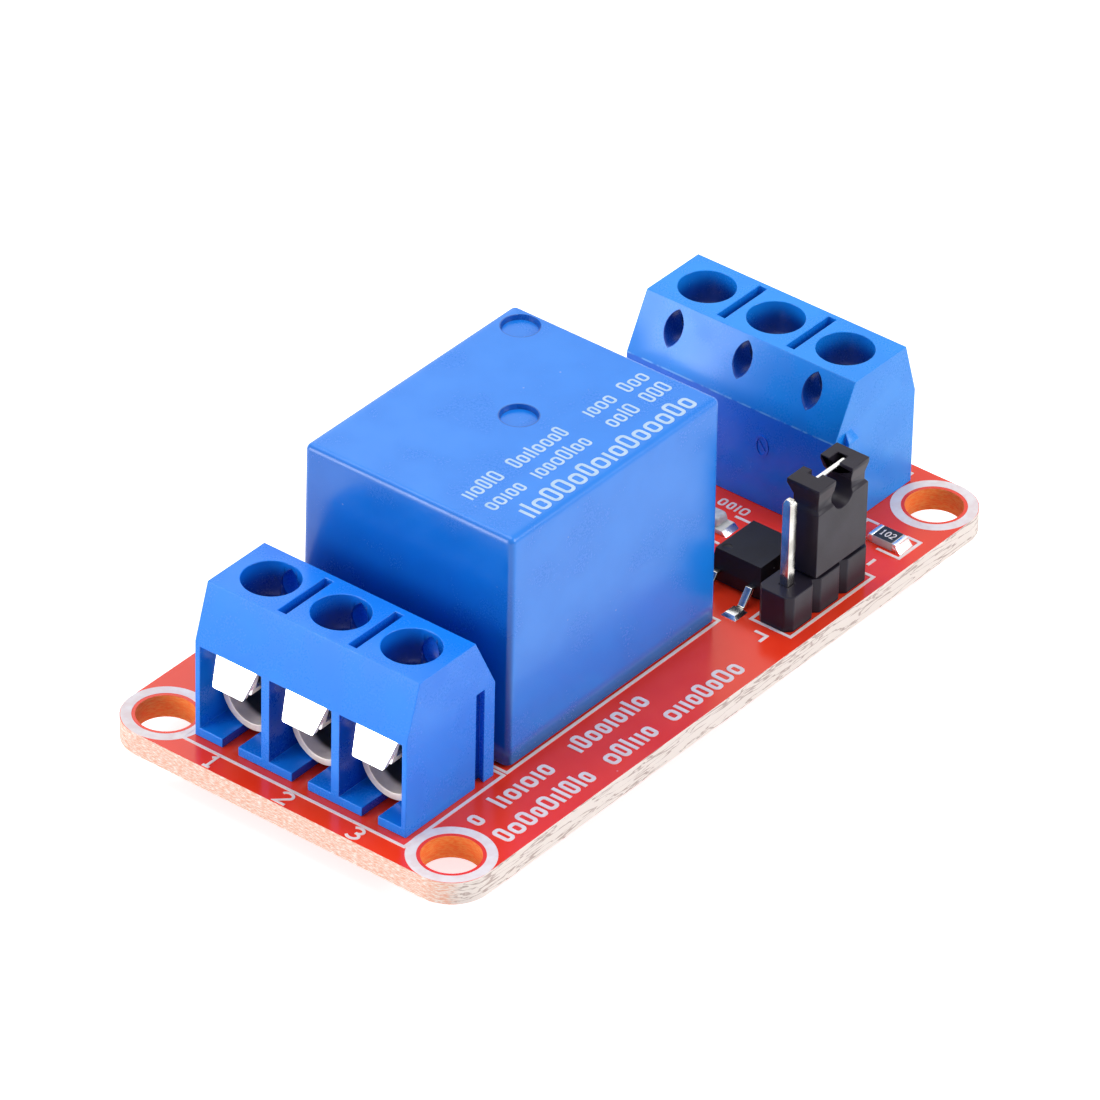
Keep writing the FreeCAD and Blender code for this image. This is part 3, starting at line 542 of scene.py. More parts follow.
marksLook = {
    "hollowShare": 0.68, "widths": (0.85, 1.1), "heights": [0.76, 0.76, 1.0], "strokeWidth": 1.25,
    "corner": 0.7, "leastRoom": 0.7,
}


# a row of plain marks: hollow round-cornered boxes and, between them, upright strokes
def rowOfMarks(x0, x1, y, height, seed, z0, z1, stroke, mark, gap, along=(1.0, 0.0), start=(0.0, 0.0)):
    look = marksLook
    rng = np.random.default_rng(seed)
    along, up = printAxes(along)
    shells = []
    x = x0
    while x + mark * look["leastRoom"] < x1:
        hollow = rng.random() < look["hollowShare"]
        wide = mark * rng.uniform(*look["widths"]) if hollow else stroke * look["strokeWidth"]
        tall = height * rng.choice(look["heights"])
        middle = (x + wide / 2) * along + (y + tall / 2) * up + start
        u, v = wide / 2 - stroke / 2, tall / 2 - stroke / 2
        if hollow:
            bend = min(u, v) * look["corner"]
            corners = [(u - bend, v - bend), (bend - u, v - bend), (bend - u, bend - v), (u - bend, bend - v)]
            path = np.concatenate([arc(cx, cy, bend, bend, 90 * k, 90 * k + 90, 4)
                                   for k, (cx, cy) in enumerate(corners)])
        else:
            path = np.array([(0.0, -v - stroke / 2), (0.0, v + stroke / 2)])
        path = middle + path[:, :1] * along + path[:, 1:] * up
        shells.append(ribbon(path * mm, stroke * mm, z0, z1, hollow))
        x += wide + gap
    return shells


def makeSilk():
    look = silkLook
    z0 = boardTop
    z1 = boardTop + look["height"] * mm
    ringTop = z0 + look["ringHeight"] * mm
    ringMiddle = (look["ringInner"] + look["ringOuter"]) / 2
    ringWidth = look["ringOuter"] - look["ringInner"]
    shells = []
    for sx in (-1, 1):
        for sy in (-1, 1):
            ring = loop(sx * boardLook["holeX"], sy * boardLook["holeY"], ringMiddle, ringMiddle,
                        look["ringSteps"])
            shells.append(ribbon(ring * mm, ringWidth * mm, z0, ringTop, True))
    for path, closed in look["outlines"].values():
        shells.append(ribbon(np.array(path) * mm, look["line"] * mm, z0, z1, closed))
    for sign, y in look["digits"]:
        shells += digit(sign, look["digitX"], y, look["digitWidth"], look["digitHeight"],
                        look["digitStroke"], z0, z1, towardsFront)
    for x0, x1, y, seed in look["rows"]:
        shells += rowOfMarks(x0, x1, y, look["rowHeight"], seed, z0, z1, look["rowStroke"],
                             look["rowMark"], look["rowGap"])
    row = look["lampRow"]
    shells += rowOfMarks(0.0, row["length"], 0.0, row["height"], row["seed"], z0, z1, row["stroke"],
                         row["mark"], row["gap"], towardsFront, row["start"])
    verts, faces = joinShells(shells)
    obj = addPiece("silkPrint", verts, faces)
    return finishPiece(obj, "module", silkWhite)


makeSilk()
print("silk print ready")


# terminal blocks: the mouldings, clamp frames, guards and screws keep the CAD shape, with worked edges.
# Places are in mm; the painted shade in the cavities, on the cell walls and on the back face's foot, and the
# painted light that makes the input block paler, multiply the blue
terminalLook = {
    "housingEdge": 0.1, "clampEdge": 0.09, "guardEdge": 0.06, "screwEdge": 0.05, "threadPitch": 0.5,
    "outputBore": (-19.34, 0.15), "inputBore": (20.02, -0.13), "pitch": 5.08, "boreRadius": 1.745,
    "top": 13.0, "deepFrom": 1.4, "slotHalf": 0.3, "slotReach": 2.1, "maskBlur": 0.06,
    "eyeHalf": 0.66, "eyeLow": 10.4, "outputEye": 0.4, "cellTop": 9.25, "cellReach": 7.3,
    "backX": 16.05, "seamZ": 9.48,
    "blue": (0.005, 0.235, 0.95), "blueShade": (0.004, 0.21, 0.9), "paintedLightPaler": (1.6, 1.25, 1.0),
    "cavity": (0.3, 0.22, 0.42), "paintedCellShade": (0.5, 0.36, 0.6), "paintedBackShade": (0.5, 0.6, 0.88),
    "seamAndHighlightPale": (0.16, 0.5, 1.0), "seamBreaks": 1400.0, "dust": (0.6, 0.75, 0.95),
    "roughness": (0.2, 0.34), "specular": 0.42, "bump": 0.05,
}


# a point from the screw bores: 1 on the input block, x from the bores' row, y from the row's middle, y from
# the nearest bore's axis, folded by the pitch, and the distance from that axis
def fromBores(tree, x, y):
    look = terminalLook
    (outX, outY), (inX, inY) = look["outputBore"], look["inputBore"]
    pitch = look["pitch"]
    isInput = maths(tree, "GREATER_THAN", x, 0.0)
    fromRow = maths(tree, "SUBTRACT", x, ramp(tree, isInput, 0.0, 1.0, outX * mm, inX * mm))
    fromMiddle = maths(tree, "SUBTRACT", y, ramp(tree, isInput, 0.0, 1.0, outY * mm, inY * mm))
    shifted = maths(tree, "ADD", fromMiddle, pitch * 1.5 * mm)
    folded = maths(tree, "FLOORED_MODULO", shifted, pitch * mm)
    fromAxis = absolute(tree, maths(tree, "SUBTRACT", folded, pitch / 2 * mm))
    return isInput, fromRow, fromMiddle, fromAxis, flatDistance(tree, fromRow, fromAxis)


# painted shade inside the screw bores, top slots and pry eyes: how much of it a point takes. A point is in a
# bore where its distance from the nearest axis is under the radius, in a slot half a pitch from two bores,
# and in an eye where the wall beside a bore's axis faces along y
def cavityMask(tree, z, facingY, bores):
    look = terminalLook
    isInput, fromRow, fromMiddle, fromAxis, away = bores
    blur = look["maskBlur"]
    boreEdge = look["boreRadius"] + blur
    slotEdge = look["pitch"] / 2 - look["slotHalf"]
    deep = ramp(tree, z, (look["top"] - look["deepFrom"]) * mm, (look["top"] - 0.05) * mm, 1.0, 0.15)
    inBore = ramp(tree, away, boreEdge * mm, (boreEdge + blur) * mm, 1.0, 0.0)
    farFromBore = ramp(tree, fromAxis, (slotEdge - 0.08) * mm, (slotEdge - 0.04) * mm)
    withinReach = ramp(tree, absolute(tree, fromRow), look["slotReach"] * mm,
                       (look["slotReach"] + 0.05) * mm, 1.0, 0.0)
    notEnd = maths(tree, "LESS_THAN", absolute(tree, fromMiddle), look["pitch"] * mm)
    inSlot = times(tree, farFromBore, withinReach, notEnd)
    inEye = times(tree, maths(tree, "GREATER_THAN", absolute(tree, facingY), 0.15),
                  maths(tree, "GREATER_THAN", away, boreEdge * mm),
                  maths(tree, "LESS_THAN", fromAxis, look["eyeHalf"] * mm),
                  maths(tree, "GREATER_THAN", z, look["eyeLow"] * mm),
                  ramp(tree, isInput, 0.0, 1.0, look["outputEye"], 1.0))
    hollow = times(tree, maths(tree, "MAXIMUM", inBore, inSlot), deep)
    inside = times(tree, maths(tree, "GREATER_THAN", z, look["cellTop"] * mm),
                   maths(tree, "LESS_THAN", z, (look["top"] - 0.03) * mm))
    return times(tree, maths(tree, "MAXIMUM", hollow, inEye), inside)


# terminal plastic: bright and glossy, with painted shade in its cavities and on the walls between the wire
# cells. The input block is painted paler as painted light, with painted shade on its back face's foot and a
# broken pale line on its back face that is the mould's seam and a painted edge highlight
def makeTerminalMaterial():
    look = terminalLook
    mat, tree, shader = newMaterial("terminalBlue")
    skin = place(tree, mouldedSkin, Grain=9000.0)
    where = objectPlace(tree)
    x, y, z = split(tree, where)
    facingY = split(tree, put(tree, "ShaderNodeNewGeometry").outputs["True Normal"])[1]
    bores = fromBores(tree, x, y)
    isInput, fromMiddle = bores[0], bores[2]
    # painted shade on the walls between the wire cells
    cellWallShadeMask = times(tree, maths(tree, "GREATER_THAN", absolute(tree, facingY), 0.6),
                     maths(tree, "LESS_THAN", absolute(tree, fromMiddle), look["cellReach"] * mm),
                     maths(tree, "LESS_THAN", z, look["cellTop"] * mm))
    base = tint(tree, skin.outputs["Cloud"], rgb(*look["blue"]), rgb(*look["blueShade"]))
    base = tint(tree, cellWallShadeMask, base, deepened(tree, base, look["paintedCellShade"]))
    # painted light: the whole input block is made paler
    base = tint(tree, isInput, base, deepened(tree, base, look["paintedLightPaler"]))
    # painted shade on the input block's back face below the seam
    onBack = times(tree, maths(tree, "LESS_THAN", x, look["backX"] * mm), isInput)
    backShadeMask = times(tree, onBack, maths(tree, "LESS_THAN", z, look["seamZ"] * mm))
    base = tint(tree, backShadeMask, base, deepened(tree, base, look["paintedBackShade"]))
    # the mould's seam line, drawn pale, which also serves as a painted edge highlight along the back face's
    # top edge
    fromSeam = absolute(tree, maths(tree, "SUBTRACT", z, look["seamZ"] * mm))
    seamLineAndHighlight = times(tree, ramp(tree, fromSeam, 0.03 * mm, 0.07 * mm, 1.0, 0.0), onBack)
    broken = put(tree, "ShaderNodeTexNoise", {"Scale": look["seamBreaks"], "Vector": where})
    seamLineAndHighlight = times(tree, seamLineAndHighlight, ramp(tree, broken.outputs["Fac"], 0.38, 0.55))
    base = tint(tree, seamLineAndHighlight, base, rgb(*look["seamAndHighlightPale"]))
    base = tint(tree, times(tree, skin.outputs["Dust"], 0.2), base, rgb(*look["dust"]))
    # painted shade in the bores, slots and eyes
    cavity = cavityMask(tree, z, facingY, bores)
    linkColour(tree, shader, tint(tree, cavity, base, deepened(tree, base, look["cavity"])))
    linkRoughness(tree, shader, skin.outputs["Height"], 0.3, 0.7, *look["roughness"])
    setShader(shader, **{"Specular IOR Level": look["specular"]})
    addBump(tree, shader, skin.outputs["Height"], look["bump"], 0.02 * mm)
    return mat


clampLook = {
    "pale": (0.97, 0.88, 0.8), "worn": (0.8, 0.7, 0.62), "shade": (0.03, 0.026, 0.025),
    "front": 2.46, "shadeFrom": 1.3, "shadeTo": 1.8, "metallic": 0.15,
}


# clamp frames: tarnished tin, darker with depth behind the frame's front, where the light does not reach
def makeClampMaterial():
    look = clampLook
    mat, tree, shader = newMaterial("clampMetal")
    skin = place(tree, metalSkin, Along=(1.0, 1.0, 1.0))
    x = split(tree, objectPlace(tree))[0]
    metal = tint(tree, skin.outputs["Tarnish"], rgb(*look["pale"]), rgb(*look["worn"]))
    isInput = maths(tree, "GREATER_THAN", x, 0.0)
    outFront = terminalLook["outputBore"][0] - look["front"]
    inFront = terminalLook["inputBore"][0] + look["front"]
    inDepth = times(tree, isInput, maths(tree, "SUBTRACT", inFront * mm, x))
    outDepth = times(tree, maths(tree, "SUBTRACT", 1.0, isInput), maths(tree, "SUBTRACT", x, outFront * mm))
    depth = maths(tree, "ADD", inDepth, outDepth)
    paintedShade = ramp(tree, depth, look["shadeFrom"] * mm, look["shadeTo"] * mm)
    linkColour(tree, shader, tint(tree, paintedShade, metal, rgb(*look["shade"])))
    linkRoughness(tree, shader, skin.outputs["Height"], 0.2, 0.8, 0.3, 0.5)
    setShader(shader, Metallic=look["metallic"])
    addBump(tree, shader, skin.outputs["Height"], 0.5, 0.01 * mm)
    return mat


# a screw thread as height: a triangle wave of z / pitch
def makeScrewMaterial():
    mat, tree, shader = newMaterial("screwZinc")
    skin = place(tree, metalSkin)
    zinc = tint(tree, skin.outputs["Tarnish"], rgb(0.66, 0.66, 0.65), rgb(0.46, 0.46, 0.45))
    linkColour(tree, shader, zinc)
    setShader(shader, Metallic=1.0, Roughness=0.28)
    z = split(tree, objectPlace(tree))[2]
    ridge = maths(tree, "PINGPONG", maths(tree, "DIVIDE", z, terminalLook["threadPitch"] * mm), 0.5)
    addBump(tree, shader, ridge, 0.6, 0.2 * mm)
    return mat


terminalBlue = makeTerminalMaterial()
clampMetal = makeClampMaterial()
screwZinc = makeScrewMaterial()
for block in ("output", "input"):
    softened(block + "_housing", terminalLook["housingEdge"], "module", terminalBlue)
    for number in (1, 2, 3):
        guard = f"{block}_guard_{number}"
        screw = f"{block}_screw_{number}"
        softened(f"{block}_clamp_{number}", terminalLook["clampEdge"], "module", clampMetal)
        softened(guard, terminalLook["guardEdge"], guard, brightTin)
        softened(screw, terminalLook["screwEdge"], screw, screwZinc)

mouldMarkLook = {
    "x": 15.78, "y": -2.59, "z": 7.2, "halfY": 0.42, "halfZ": 0.66, "line": 0.13, "lift": 0.06,
    "ridge": [(-0.22, -0.3), (0.22, 0.3)], "steps": 40,
}


# the mould's mark on the input block's back face: an oval ring with a low ridge across it, drawn flat and
# then stood up so that its height points along -x
def makeMouldMark():
    look = mouldMarkLook
    ring = loop(0.0, 0.0, look["halfY"], look["halfZ"], look["steps"])
    shells = [ribbon(ring, look["line"], 0.0, look["lift"], True),
              ribbon(np.array(look["ridge"]), look["line"], 0.0, look["lift"])]
    verts, faces = joinShells(shells)
    upright = np.column_stack([look["x"] - verts[:, 2], look["y"] + verts[:, 0], look["z"] + verts[:, 1]])
    obj = addPiece("mouldMark", upright * mm, [f[::-1] for f in faces])
    return finishPiece(obj, "module", terminalBlue)


makeMouldMark()
print("terminal blocks ready")


relayLook = {
    "x": -4.69, "y": -0.22, "halfX": 9.5, "halfY": 7.6, "low": 3.2, "high": 18.5, "radius": 0.42,
    "draft": 0.1, "wall": 0.68, "stepsX": 90, "stepsY": 72, "stepsZ": 12, "cornerSteps": 6,
    "dimples": [(3.1, 5.53), (-4.1, -0.16)], "dimpleRadius": 1.16, "dimpleWall": 0.06, "dimpleDepth": 0.3,
    "paintedWallShade": (0.25, 0.33, 0.45), "shadeLow": 8.0, "shadeTop": 0.45, "paintedDimpleShade": 0.8,
}


# relay plastic on the cover: painted shade on the wall that faces the output block, stronger towards its
# foot, and on a narrow ring round each dimple's centre, just under the roof
def paintRelayShade():
    look = relayLook
    tree = relayBlue.node_tree
    shader = shaderOf(tree)
    plain = shader.inputs["Base Color"].links[0].from_socket
    x, y, z = split(tree, objectPlace(tree))
    end = look["x"] - look["halfX"]
    # painted shade on the wall facing the output block, stronger towards its foot
    wall = ramp(tree, x, (end + 0.15) * mm, (end + look["radius"]) * mm, 1.0, 0.0)
    foot = ramp(tree, z, look["shadeLow"] * mm, look["high"] * mm, 1.0, look["shadeTop"])
    paintedShade = times(tree, wall, foot)
    # painted shade on a ring round each dimple's centre
    ringRadius = look["dimpleRadius"] - look["dimpleWall"] / 2
    onTop = maths(tree, "GREATER_THAN", z, (look["high"] - 0.5) * mm)
    for cx, cy in look["dimples"]:
        dx = maths(tree, "SUBTRACT", x, cx * mm)
        dy = maths(tree, "SUBTRACT", y, cy * mm)
        fromRing = absolute(tree, maths(tree, "SUBTRACT", flatDistance(tree, dx, dy), ringRadius * mm))
        side = ramp(tree, fromRing, 0.06 * mm, 0.1 * mm, look["paintedDimpleShade"], 0.0)
        paintedShade = maths(tree, "MAXIMUM", paintedShade, times(tree, side, onTop))
    linkColour(tree, shader, tint(tree, paintedShade, plain, deepened(tree, plain, look["paintedWallShade"])))


# steps across a box of rounded edges: even between the bends, and round them by equal angles
def bandedSteps(half, radius, count):
    turn = np.linspace(0, math.pi / 4, relayLook["cornerSteps"])[1:]
    bend = half - radius + radius * np.tan(turn)
    middle = np.linspace(-(half - radius), half - radius, count)
    return np.concatenate([-bend[::-1], middle, bend])


# a dimple: with m the larger of |x| and |y| from its centre and r the distance, a roof point q of the patch
# goes to q m / r, so that squares of grid lines turn into circles; what lies inside the wall's foot sinks
def pressDimple(verts, cx, cy):
    look = relayLook
    fromCentre = verts[:, :2] - (cx, cy)
    square = np.abs(fromCentre).max(axis=1)
    onTop = verts[:, 2] > look["high"] - 0.05
    inPatch = onTop & (square < look["dimpleRadius"] + 1.5 * look["dimpleWall"])
    away = np.maximum(np.linalg.norm(fromCentre, axis=1), 1e-9)
    stretch = np.where(inPatch, square / away, 1.0)
    verts[:, :2] = fromCentre * stretch[:, None] + (cx, cy)
    sunk = onTop & (square < look["dimpleRadius"] - 0.5 * look["dimpleWall"])
    verts[:, 2] -= np.where(sunk, look["dimpleDepth"], 0)


# relay cover: each point q of a box is moved to c + R (q - c) / |q - c|, where c is q held inside the box
# shrunk by R; the sides lean in with height and two ejector dimples are pressed into the roof
def makeRelayCover():
    look = relayLook
    hx, hy, radius = look["halfX"], look["halfY"], look["radius"]
    height = look["high"] - look["low"]
    xs = bandedSteps(hx, radius, look["stepsX"])
    ys = bandedSteps(hy, radius, look["stepsY"])
    sides = look["dimpleRadius"] + look["dimpleWall"] * np.array([-1, 0, 1])
    sides = np.concatenate([-sides, sides])
    for cx, cy in look["dimples"]:
        xs = np.union1d(xs, cx - look["x"] + sides)
        ys = np.union1d(ys, cy - look["y"] + sides)
    turn = np.linspace(0, math.pi / 4, look["cornerSteps"])[1:]
    straight = np.linspace(0, height - radius, look["stepsZ"])
    zs = np.concatenate([straight, height - radius + radius * np.tan(turn)])

    def rounded(q):
        limit = np.array([hx - radius, hy - radius])
        core = q.copy()
        core[:, :2] = np.clip(q[:, :2], -limit, limit)
        core[:, 2] = np.minimum(q[:, 2], height - radius)
        away = q - core
        length = np.linalg.norm(away, axis=1, keepdims=True)
        return core + away * radius / np.maximum(length, 1e-9)

    gx, gy = np.meshgrid(xs, ys, indexing="ij")
    top = rounded(np.column_stack([gx.ravel(), gy.ravel(), np.full(gx.size, height)]))
    lastX, lastY = len(xs) - 1, len(ys) - 1
    around = np.concatenate([
        np.column_stack([xs[:-1], np.full(lastX, -hy)]), np.column_stack([np.full(lastY, hx), ys[:-1]]),
        np.column_stack([xs[:0:-1], np.full(lastX, hy)]), np.column_stack([np.full(lastY, -hx), ys[:0:-1]]),
    ])
    wall = np.concatenate([np.column_stack([around, np.full(len(around), z)]) for z in zs])
    shells = [(top, gridFaces(len(xs), len(ys))),
              (rounded(wall), gridFaces(len(zs), len(around), closeCols=True)[:, ::-1])]
    verts, faces = joinShells(shells)
    lean = 1 - look["draft"] * verts[:, 2] / height / np.array([[hx], [hy]])
    verts[:, 0] *= lean[0]
    verts[:, 1] *= lean[1]
    verts += (look["x"], look["y"], look["low"])
    for cx, cy in look["dimples"]:
        pressDimple(verts, cx, cy)
    obj = addPiece("relayCoverShell", verts * mm, faces, 40.0)
    mergePoints(obj.data, 1e-7, turnOut=True)
    wallMod = obj.modifiers.new("wall", "SOLIDIFY")
    wallMod.thickness = look["wall"] * mm
    wallMod.offset = -1.0
    return finishPiece(obj, "module", relayBlue, ("relay_cover",))


paintRelayShade()
makeRelayCover()

# relay print: four stretches in x, each with its seed, in two rows, and one wide row of larger marks
printLook = {
    "height": 0.015, "places": [(-12.4, -8.9, 21), (-8.3, -3.4, 22), (-1.6, 1.2, 23), (1.7, 4.0, 24)],
    "rowY": -3.5, "rowPitch": 1.6, "seedStep": 9, "markHeight": 1.1,
    "stroke": 0.15, "mark": 0.56, "gap": 0.16,
    "wide": {"start": -11.6, "end": 3.8, "y": -7.2, "height": 1.45, "seed": 40, "stroke": 0.22,
             "mark": 0.86, "gap": 0.22},
}


# rows of plain marks in pale blue ink on the roof
def makeRelayPrint():
    look = printLook
    wide = look["wide"]
    z0 = relayLook["high"] * mm
    z1 = z0 + look["height"] * mm
    shells = []
    for x0, x1, seed in look["places"]:
        for row in (0, 1):
            y = look["rowY"] - row * look["rowPitch"]
            shells += rowOfMarks(x0, x1, y, look["markHeight"], seed + row * look["seedStep"], z0, z1,
                                 look["stroke"], look["mark"], look["gap"])
    shells += rowOfMarks(wide["start"], wide["end"], wide["y"], wide["height"], wide["seed"], z0, z1,
                         wide["stroke"], wide["mark"], wide["gap"])
    verts, faces = joinShells(shells)
    obj = addPiece("relayTopPrint", verts, faces)
    return finishPiece(obj, "module", relayInk)


makeRelayPrint()

coilLook = {"turnPitch": 0.12, "groove": (0.3, 0.09, 0.03), "wire": (0.8, 0.33, 0.13)}


# the coil's winding as height: a fine triangle wave up the coil
def makeCoilMaterial():
    look = coilLook
    mat, tree, shader = newMaterial("windingCopper")
    z = split(tree, objectPlace(tree))[2]
    turns = maths(tree, "PINGPONG", maths(tree, "DIVIDE", z, look["turnPitch"] * mm), 0.5)
    linkColour(tree, shader, tint(tree, turns, rgb(*look["groove"]), rgb(*look["wire"])))
    setShader(shader, Metallic=0.9, Roughness=0.3)
    addBump(tree, shader, turns, 0.8, 0.06 * mm)
    return mat


repaint("relay_base", relayBlue)
repaint("relay_bobbin", bobbinCream)
repaint("relay_coil", makeCoilMaterial())
for name in ("relay_yoke", "relay_core", "relay_armature"):
    repaint(name, softIron)
for name in ("relay_moving_contact", "relay_open_contact", "relay_closed_contact"):
    repaint(name, springBrass)
repaint("relay_coil_pins", tinnedMetal)
print("relay ready")


# pin header and jumper
headerLook = {"baseEdge": 0.08, "pinEdge": 0.07, "capEdge": 0.06, "clipEdge": 0.04}
softened("header_base", headerLook["baseEdge"], "module", jumperBlack)
for number in (1, 2, 3):
    softened(f"header_pin_{number}", headerLook["pinEdge"], "module", tinnedMetal)
softened("jumper_cap", headerLook["capEdge"], "jumper", jumperBlack)
softened("jumper_clip", headerLook["clipEdge"], "jumper", brightTin)
print("header ready")


# surface-mounted parts
smallLook = {
    "bodyEdge": 0.06, "leadEdge": 0.03, "capEdge": 0.06, "chipEdge": 0.03, "solderEdge": 0.05,
    "lampBaseEdge": 0.03, "lensEdge": 0.22, "glaze": (0.012, 0.012, 0.016),
    "numerals": "102", "numeralsX": 17.6, "numeralsY": -10.6, "numeralPitch": 0.36, "numeralWidth": 0.24,
    "numeralHeight": 0.5, "numeralStroke": 0.075, "numeralLift": 0.012,
}
for part in ("optocoupler", "transistor", "flyback_diode"):
    softened(part + "_body", smallLook["bodyEdge"], "module", resinBlack)
    softened(part + "_leads", smallLook["leadEdge"], "module", tinnedMetal)


# chip resistor: black glaze on the face that looks up, pale ceramic on the sides
def makeChipMaterial():
    mat = chipCeramic.copy()
    mat.name = "chipGlazed"
    tree = mat.node_tree
    shader = shaderOf(tree)
    ceramic = shader.inputs["Base Color"].links[0].from_socket
    facingZ = split(tree, put(tree, "ShaderNodeNewGeometry").outputs["Normal"])[2]
    upward = ramp(tree, facingZ, 0.85, 0.95)
    linkColour(tree, shader, tint(tree, upward, ceramic, rgb(*smallLook["glaze"])))
    return mat


chipGlazed = makeChipMaterial()
for number in (1, 2, 3, 4):
    softened(f"resistor_{number}", smallLook["chipEdge"], "module", chipGlazed)
softened("resistor_end_caps", smallLook["capEdge"], "module", solderMetal)
softened("surface_solder", smallLook["solderEdge"], "module", solderMetal)
for name in ("power_lamp", "switched_lamp"):
    softened(name + "_base", smallLook["lampBaseEdge"], "module", lampWhite)


# the highest point of a CAD node
def topOf(node):
    mesh = nodes[node].data
    points = np.empty(len(mesh.vertices) * 3)
    mesh.vertices.foreach_get("co", points)
    return points.reshape(-1, 3)[:, 2].max()


# three plain numerals on the front resistor
def makeChipNumerals():
    look = smallLook
    z0 = topOf("resistor_1")
    z1 = z0 + look["numeralLift"] * mm
    shells = []
    for k, sign in enumerate(look["numerals"]):
        y = look["numeralsY"] + (1 - k) * look["numeralPitch"]
        shells += digit(sign, look["numeralsX"], y, look["numeralWidth"], look["numeralHeight"],
                        look["numeralStroke"], z0, z1, towardsFront)
    verts, faces = joinShells(shells)
    obj = addPiece("resistorNumerals", verts, faces)
    return finishPiece(obj, "module", silkWhite)


makeChipNumerals()

lensLook = {
    "pale": (0.92, 0.95, 0.97), "haze": (0.62, 0.68, 0.74), "clear": 0.35, "roughness": 0.12, "ripple": 0.08,
}


# clear resin: part of the light passes, the rest is held in a pale haze with a rippled face
def makeLensMaterial():
    look = lensLook
    mat, tree, shader = newMaterial("clearResin")
    setShader(shader, **{"Roughness": look["roughness"], "IOR": 1.5, "Transmission Weight": look["clear"]})
    skin = place(tree, mouldedSkin, Grain=4200.0, Waves=2600.0)
    linkColour(tree, shader, tint(tree, skin.outputs["Cloud"], rgb(*look["pale"]), rgb(*look["haze"])))
    addBump(tree, shader, skin.outputs["Height"], 1.0, look["ripple"] * mm)
    return mat


clearResin = makeLensMaterial()
for name in ("power_lamp", "switched_lamp"):
    softened(name + "_lens", smallLook["lensEdge"], "module", clearResin, segments=4)
print("small parts ready")


# solder under the board. Each kind of pin has its half width and its pad's radius; the relay's pins are
# placed from the relay's centre
jointLook = {
    "low": 0.75, "high": 1.5, "steps": 10, "around": 28, "collar": 0.04, "fall": 2.2,
    "terminal": (0.5, 1.1), "contact": (0.45, 1.05), "coil": (0.3, 0.9), "header": (0.33, 0.95),
    "contactX": -6.9, "commonX": 7.3, "coilX": 5.3, "rowY": 6.0,
    "headerStart": (7.68, -10.68), "headerPitch": 2.54,
}


def solderedPins():
    look = jointLook
    pins = []
    for x, y in (terminalLook["outputBore"], terminalLook["inputBore"]):
        pins += [(x, y + step * terminalLook["pitch"], *look["terminal"]) for step in (-1, 0, 1)]
    x, y = relayLook["x"], relayLook["y"]
    pins += [(x + look["contactX"], y + side * look["rowY"], *look["contact"]) for side in (-1, 1)]
    pins += [(x + look["commonX"], y, *look["contact"])]
    pins += [(x + look["coilX"], y + side * look["rowY"], *look["coil"]) for side in (-1, 1)]
    x, y = look["headerStart"]
    pins += [(x + look["headerPitch"] * i, y, *look["header"]) for i in range(3)]
    return pins


# a concave cone round each pin: its radius grows from pin to pad as a power of the height
def makeSolderJoints():
    look = jointLook
    t = np.linspace(0, 1, look["steps"])
    z = look["low"] + (look["high"] - look["low"]) * t
    shells = []
    for x, y, pin, pad in solderedPins():
        foot = pin + look["collar"]
        radius = foot + (pad - foot) * t ** look["fall"]
        profile = np.concatenate([[(0.0, look["low"])], np.column_stack([radius, z]), [(0.0, look["high"])]])
        shells.append(turned(profile * mm, (x * mm, y * mm), look["around"]))
    verts, faces = joinShells(shells)
    obj = addPiece("solderCones", verts, faces, 50.0)
    mergePoints(obj.data, 1e-8)
    return finishPiece(obj, "module", solderMetal, ("solder_joints",))


makeSolderJoints()
print("solder ready")


# stage: a pale floor, a white surround and soft lamps, each with its place and diameter in m and its power
stageLook = {
    "floorHalf": 3.0, "floor": 0.85, "floorRoughness": 0.9, "floorGlow": 0.7,
    "surroundSeen": 1.0, "surroundLight": 0.42, "aim": (0.0, 0.0, 0.008),
    "lamps": {
        "overhead": ((0.0, 0.12, 0.5), 0.4, 1.0), "rightSide": ((0.2, -0.45, 0.3), 0.35, 1.5),
        "leftSide": ((-0.45, 0.28, 0.12), 0.35, 1.7), "farRight": ((0.38, 0.55, 0.44), 0.42, 0.4),
    },
}


# 1 for rays that show the background itself: from the camera, in a mirror or through glass
def seenDirectly(tree):
    rays = put(tree, "ShaderNodeLightPath")
    seen = maths(tree, "MAXIMUM", rays.outputs["Is Camera Ray"], rays.outputs["Is Glossy Ray"])
    return maths(tree, "MAXIMUM", seen, rays.outputs["Is Transmission Ray"])


def makeFloor():
    look = stageLook
    half = look["floorHalf"]
    corners = [(-half, -half, 0), (half, -half, 0), (half, half, 0), (-half, half, 0)]
    floor = addPiece("floor", corners, [(0, 1, 2, 3)])
    mat, tree, shader = newMaterial("floorWhite")
    setShader(shader, **{"Base Color": rgb(*[look["floor"]] * 3), "Roughness": look["floorRoughness"],
                         "Emission Color": rgb(1, 1, 1)})
    glow = times(tree, seenDirectly(tree), look["floorGlow"])
    tree.links.new(glow, shader.inputs["Emission Strength"])
    floor.data.materials.append(mat)


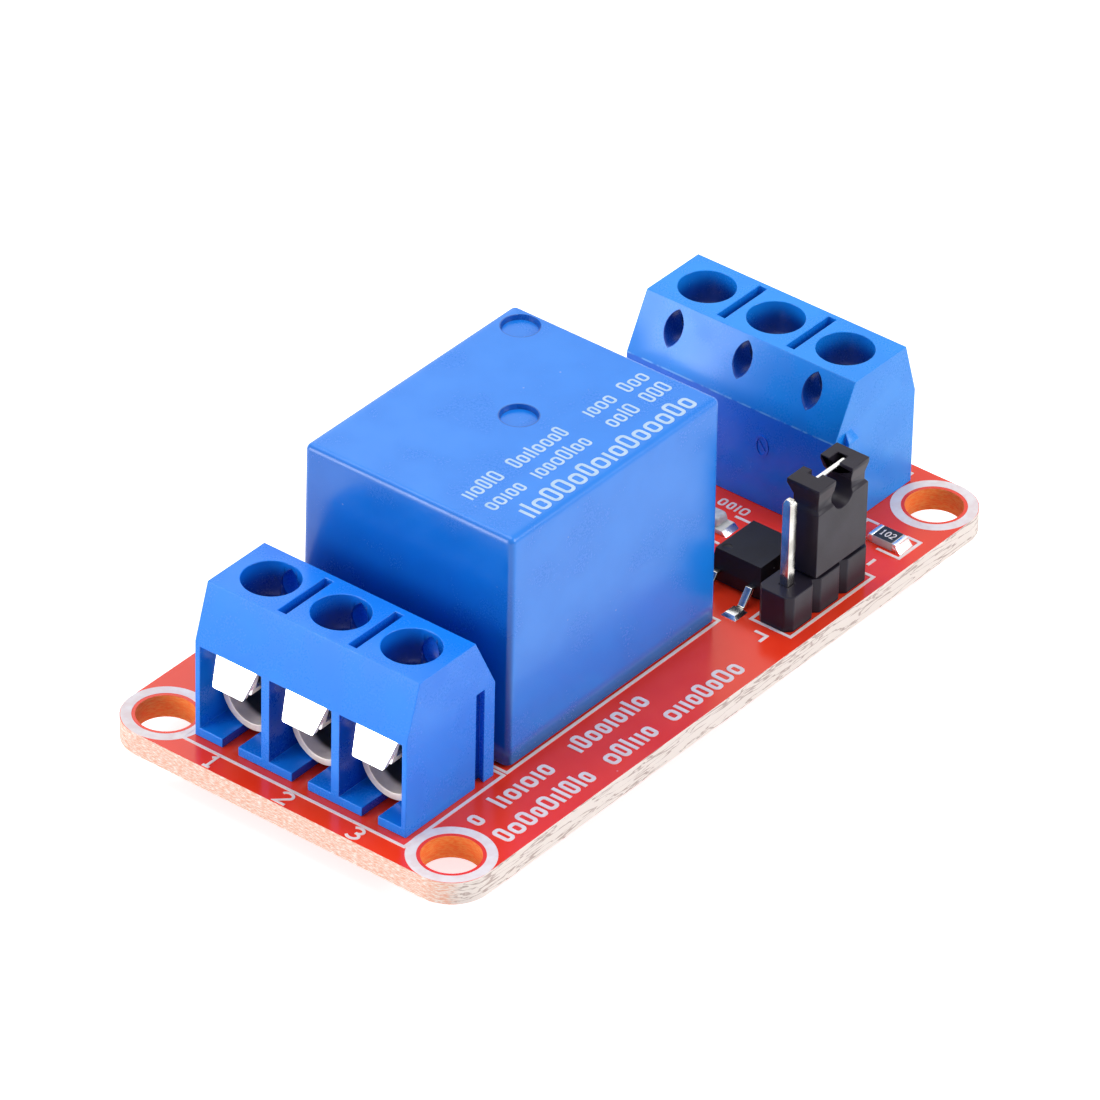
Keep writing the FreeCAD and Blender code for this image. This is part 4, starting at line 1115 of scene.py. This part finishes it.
def makeSurround():
    world = bpy.data.worlds.new("surround")
    bpy.context.scene.world = world
    world.use_nodes = True
    tree = world.node_tree
    background = next(n for n in tree.nodes if n.type == "BACKGROUND")
    background.inputs["Color"].default_value = rgb(1, 1, 1)
    strength = ramp(tree, seenDirectly(tree), 0.0, 1.0, stageLook["surroundLight"], stageLook["surroundSeen"])
    tree.links.new(strength, background.inputs["Strength"])


def makeLamps():
    for name, (spot, size, power) in stageLook["lamps"].items():
        light = bpy.data.lights.new(name, "AREA")
        light.shape = "DISK"
        light.size = size
        light.energy = power
        lamp = bpy.data.objects.new(name, light)
        bpy.context.scene.collection.objects.link(lamp)
        aim = np.array(spot) - np.array(stageLook["aim"])
        lean = math.acos(aim[2] / np.linalg.norm(aim))
        lamp.location = spot
        lamp.rotation_euler = (lean, 0, math.atan2(aim[1], aim[0]) + math.pi / 2)


makeFloor()
makeSurround()
makeLamps()

# camera, solved from the board's and the blocks' straight edges; target and distance are in mm
cameraLook = {
    "azimuth": -52.113, "elevation": 34.583, "roll": 1.32, "distance": 534.872, "focalPixels": 9337.125,
    "target": (0.065, 0.889, 8.0), "centrePixels": (-2.843, -20.185), "framePixels": 1100, "sensor": 36.0,
}


def makeCamera():
    look = cameraLook
    az, el, roll = (math.radians(look[k]) for k in ("azimuth", "elevation", "roll"))
    back = np.array([math.sin(az) * math.cos(el), -math.cos(az) * math.cos(el), math.sin(el)])
    right = np.array([math.cos(az), math.sin(az), 0.0])
    up = np.cross(back, right)
    turnedRight = right * math.cos(roll) + up * math.sin(roll)
    turnedUp = -right * math.sin(roll) + up * math.cos(roll)
    eye = (np.array(look["target"]) + back * look["distance"]) * mm
    camera = bpy.data.cameras.new("camera")
    camera.sensor_width = look["sensor"]
    camera.lens = look["focalPixels"] / look["framePixels"] * look["sensor"]
    camera.shift_x = -look["centrePixels"][0] / look["framePixels"]
    camera.shift_y = look["centrePixels"][1] / look["framePixels"]
    camera.clip_start = 0.01
    camera.clip_end = 20.0
    obj = bpy.data.objects.new("camera", camera)
    bpy.context.scene.collection.objects.link(obj)
    world = np.eye(4)
    world[:3, 0], world[:3, 1], world[:3, 2], world[:3, 3] = turnedRight, turnedUp, back, eye
    obj.matrix_world = Matrix(world.tolist())
    bpy.context.scene.camera = obj


makeCamera()
bpy.context.scene.view_settings.view_transform = "Standard"
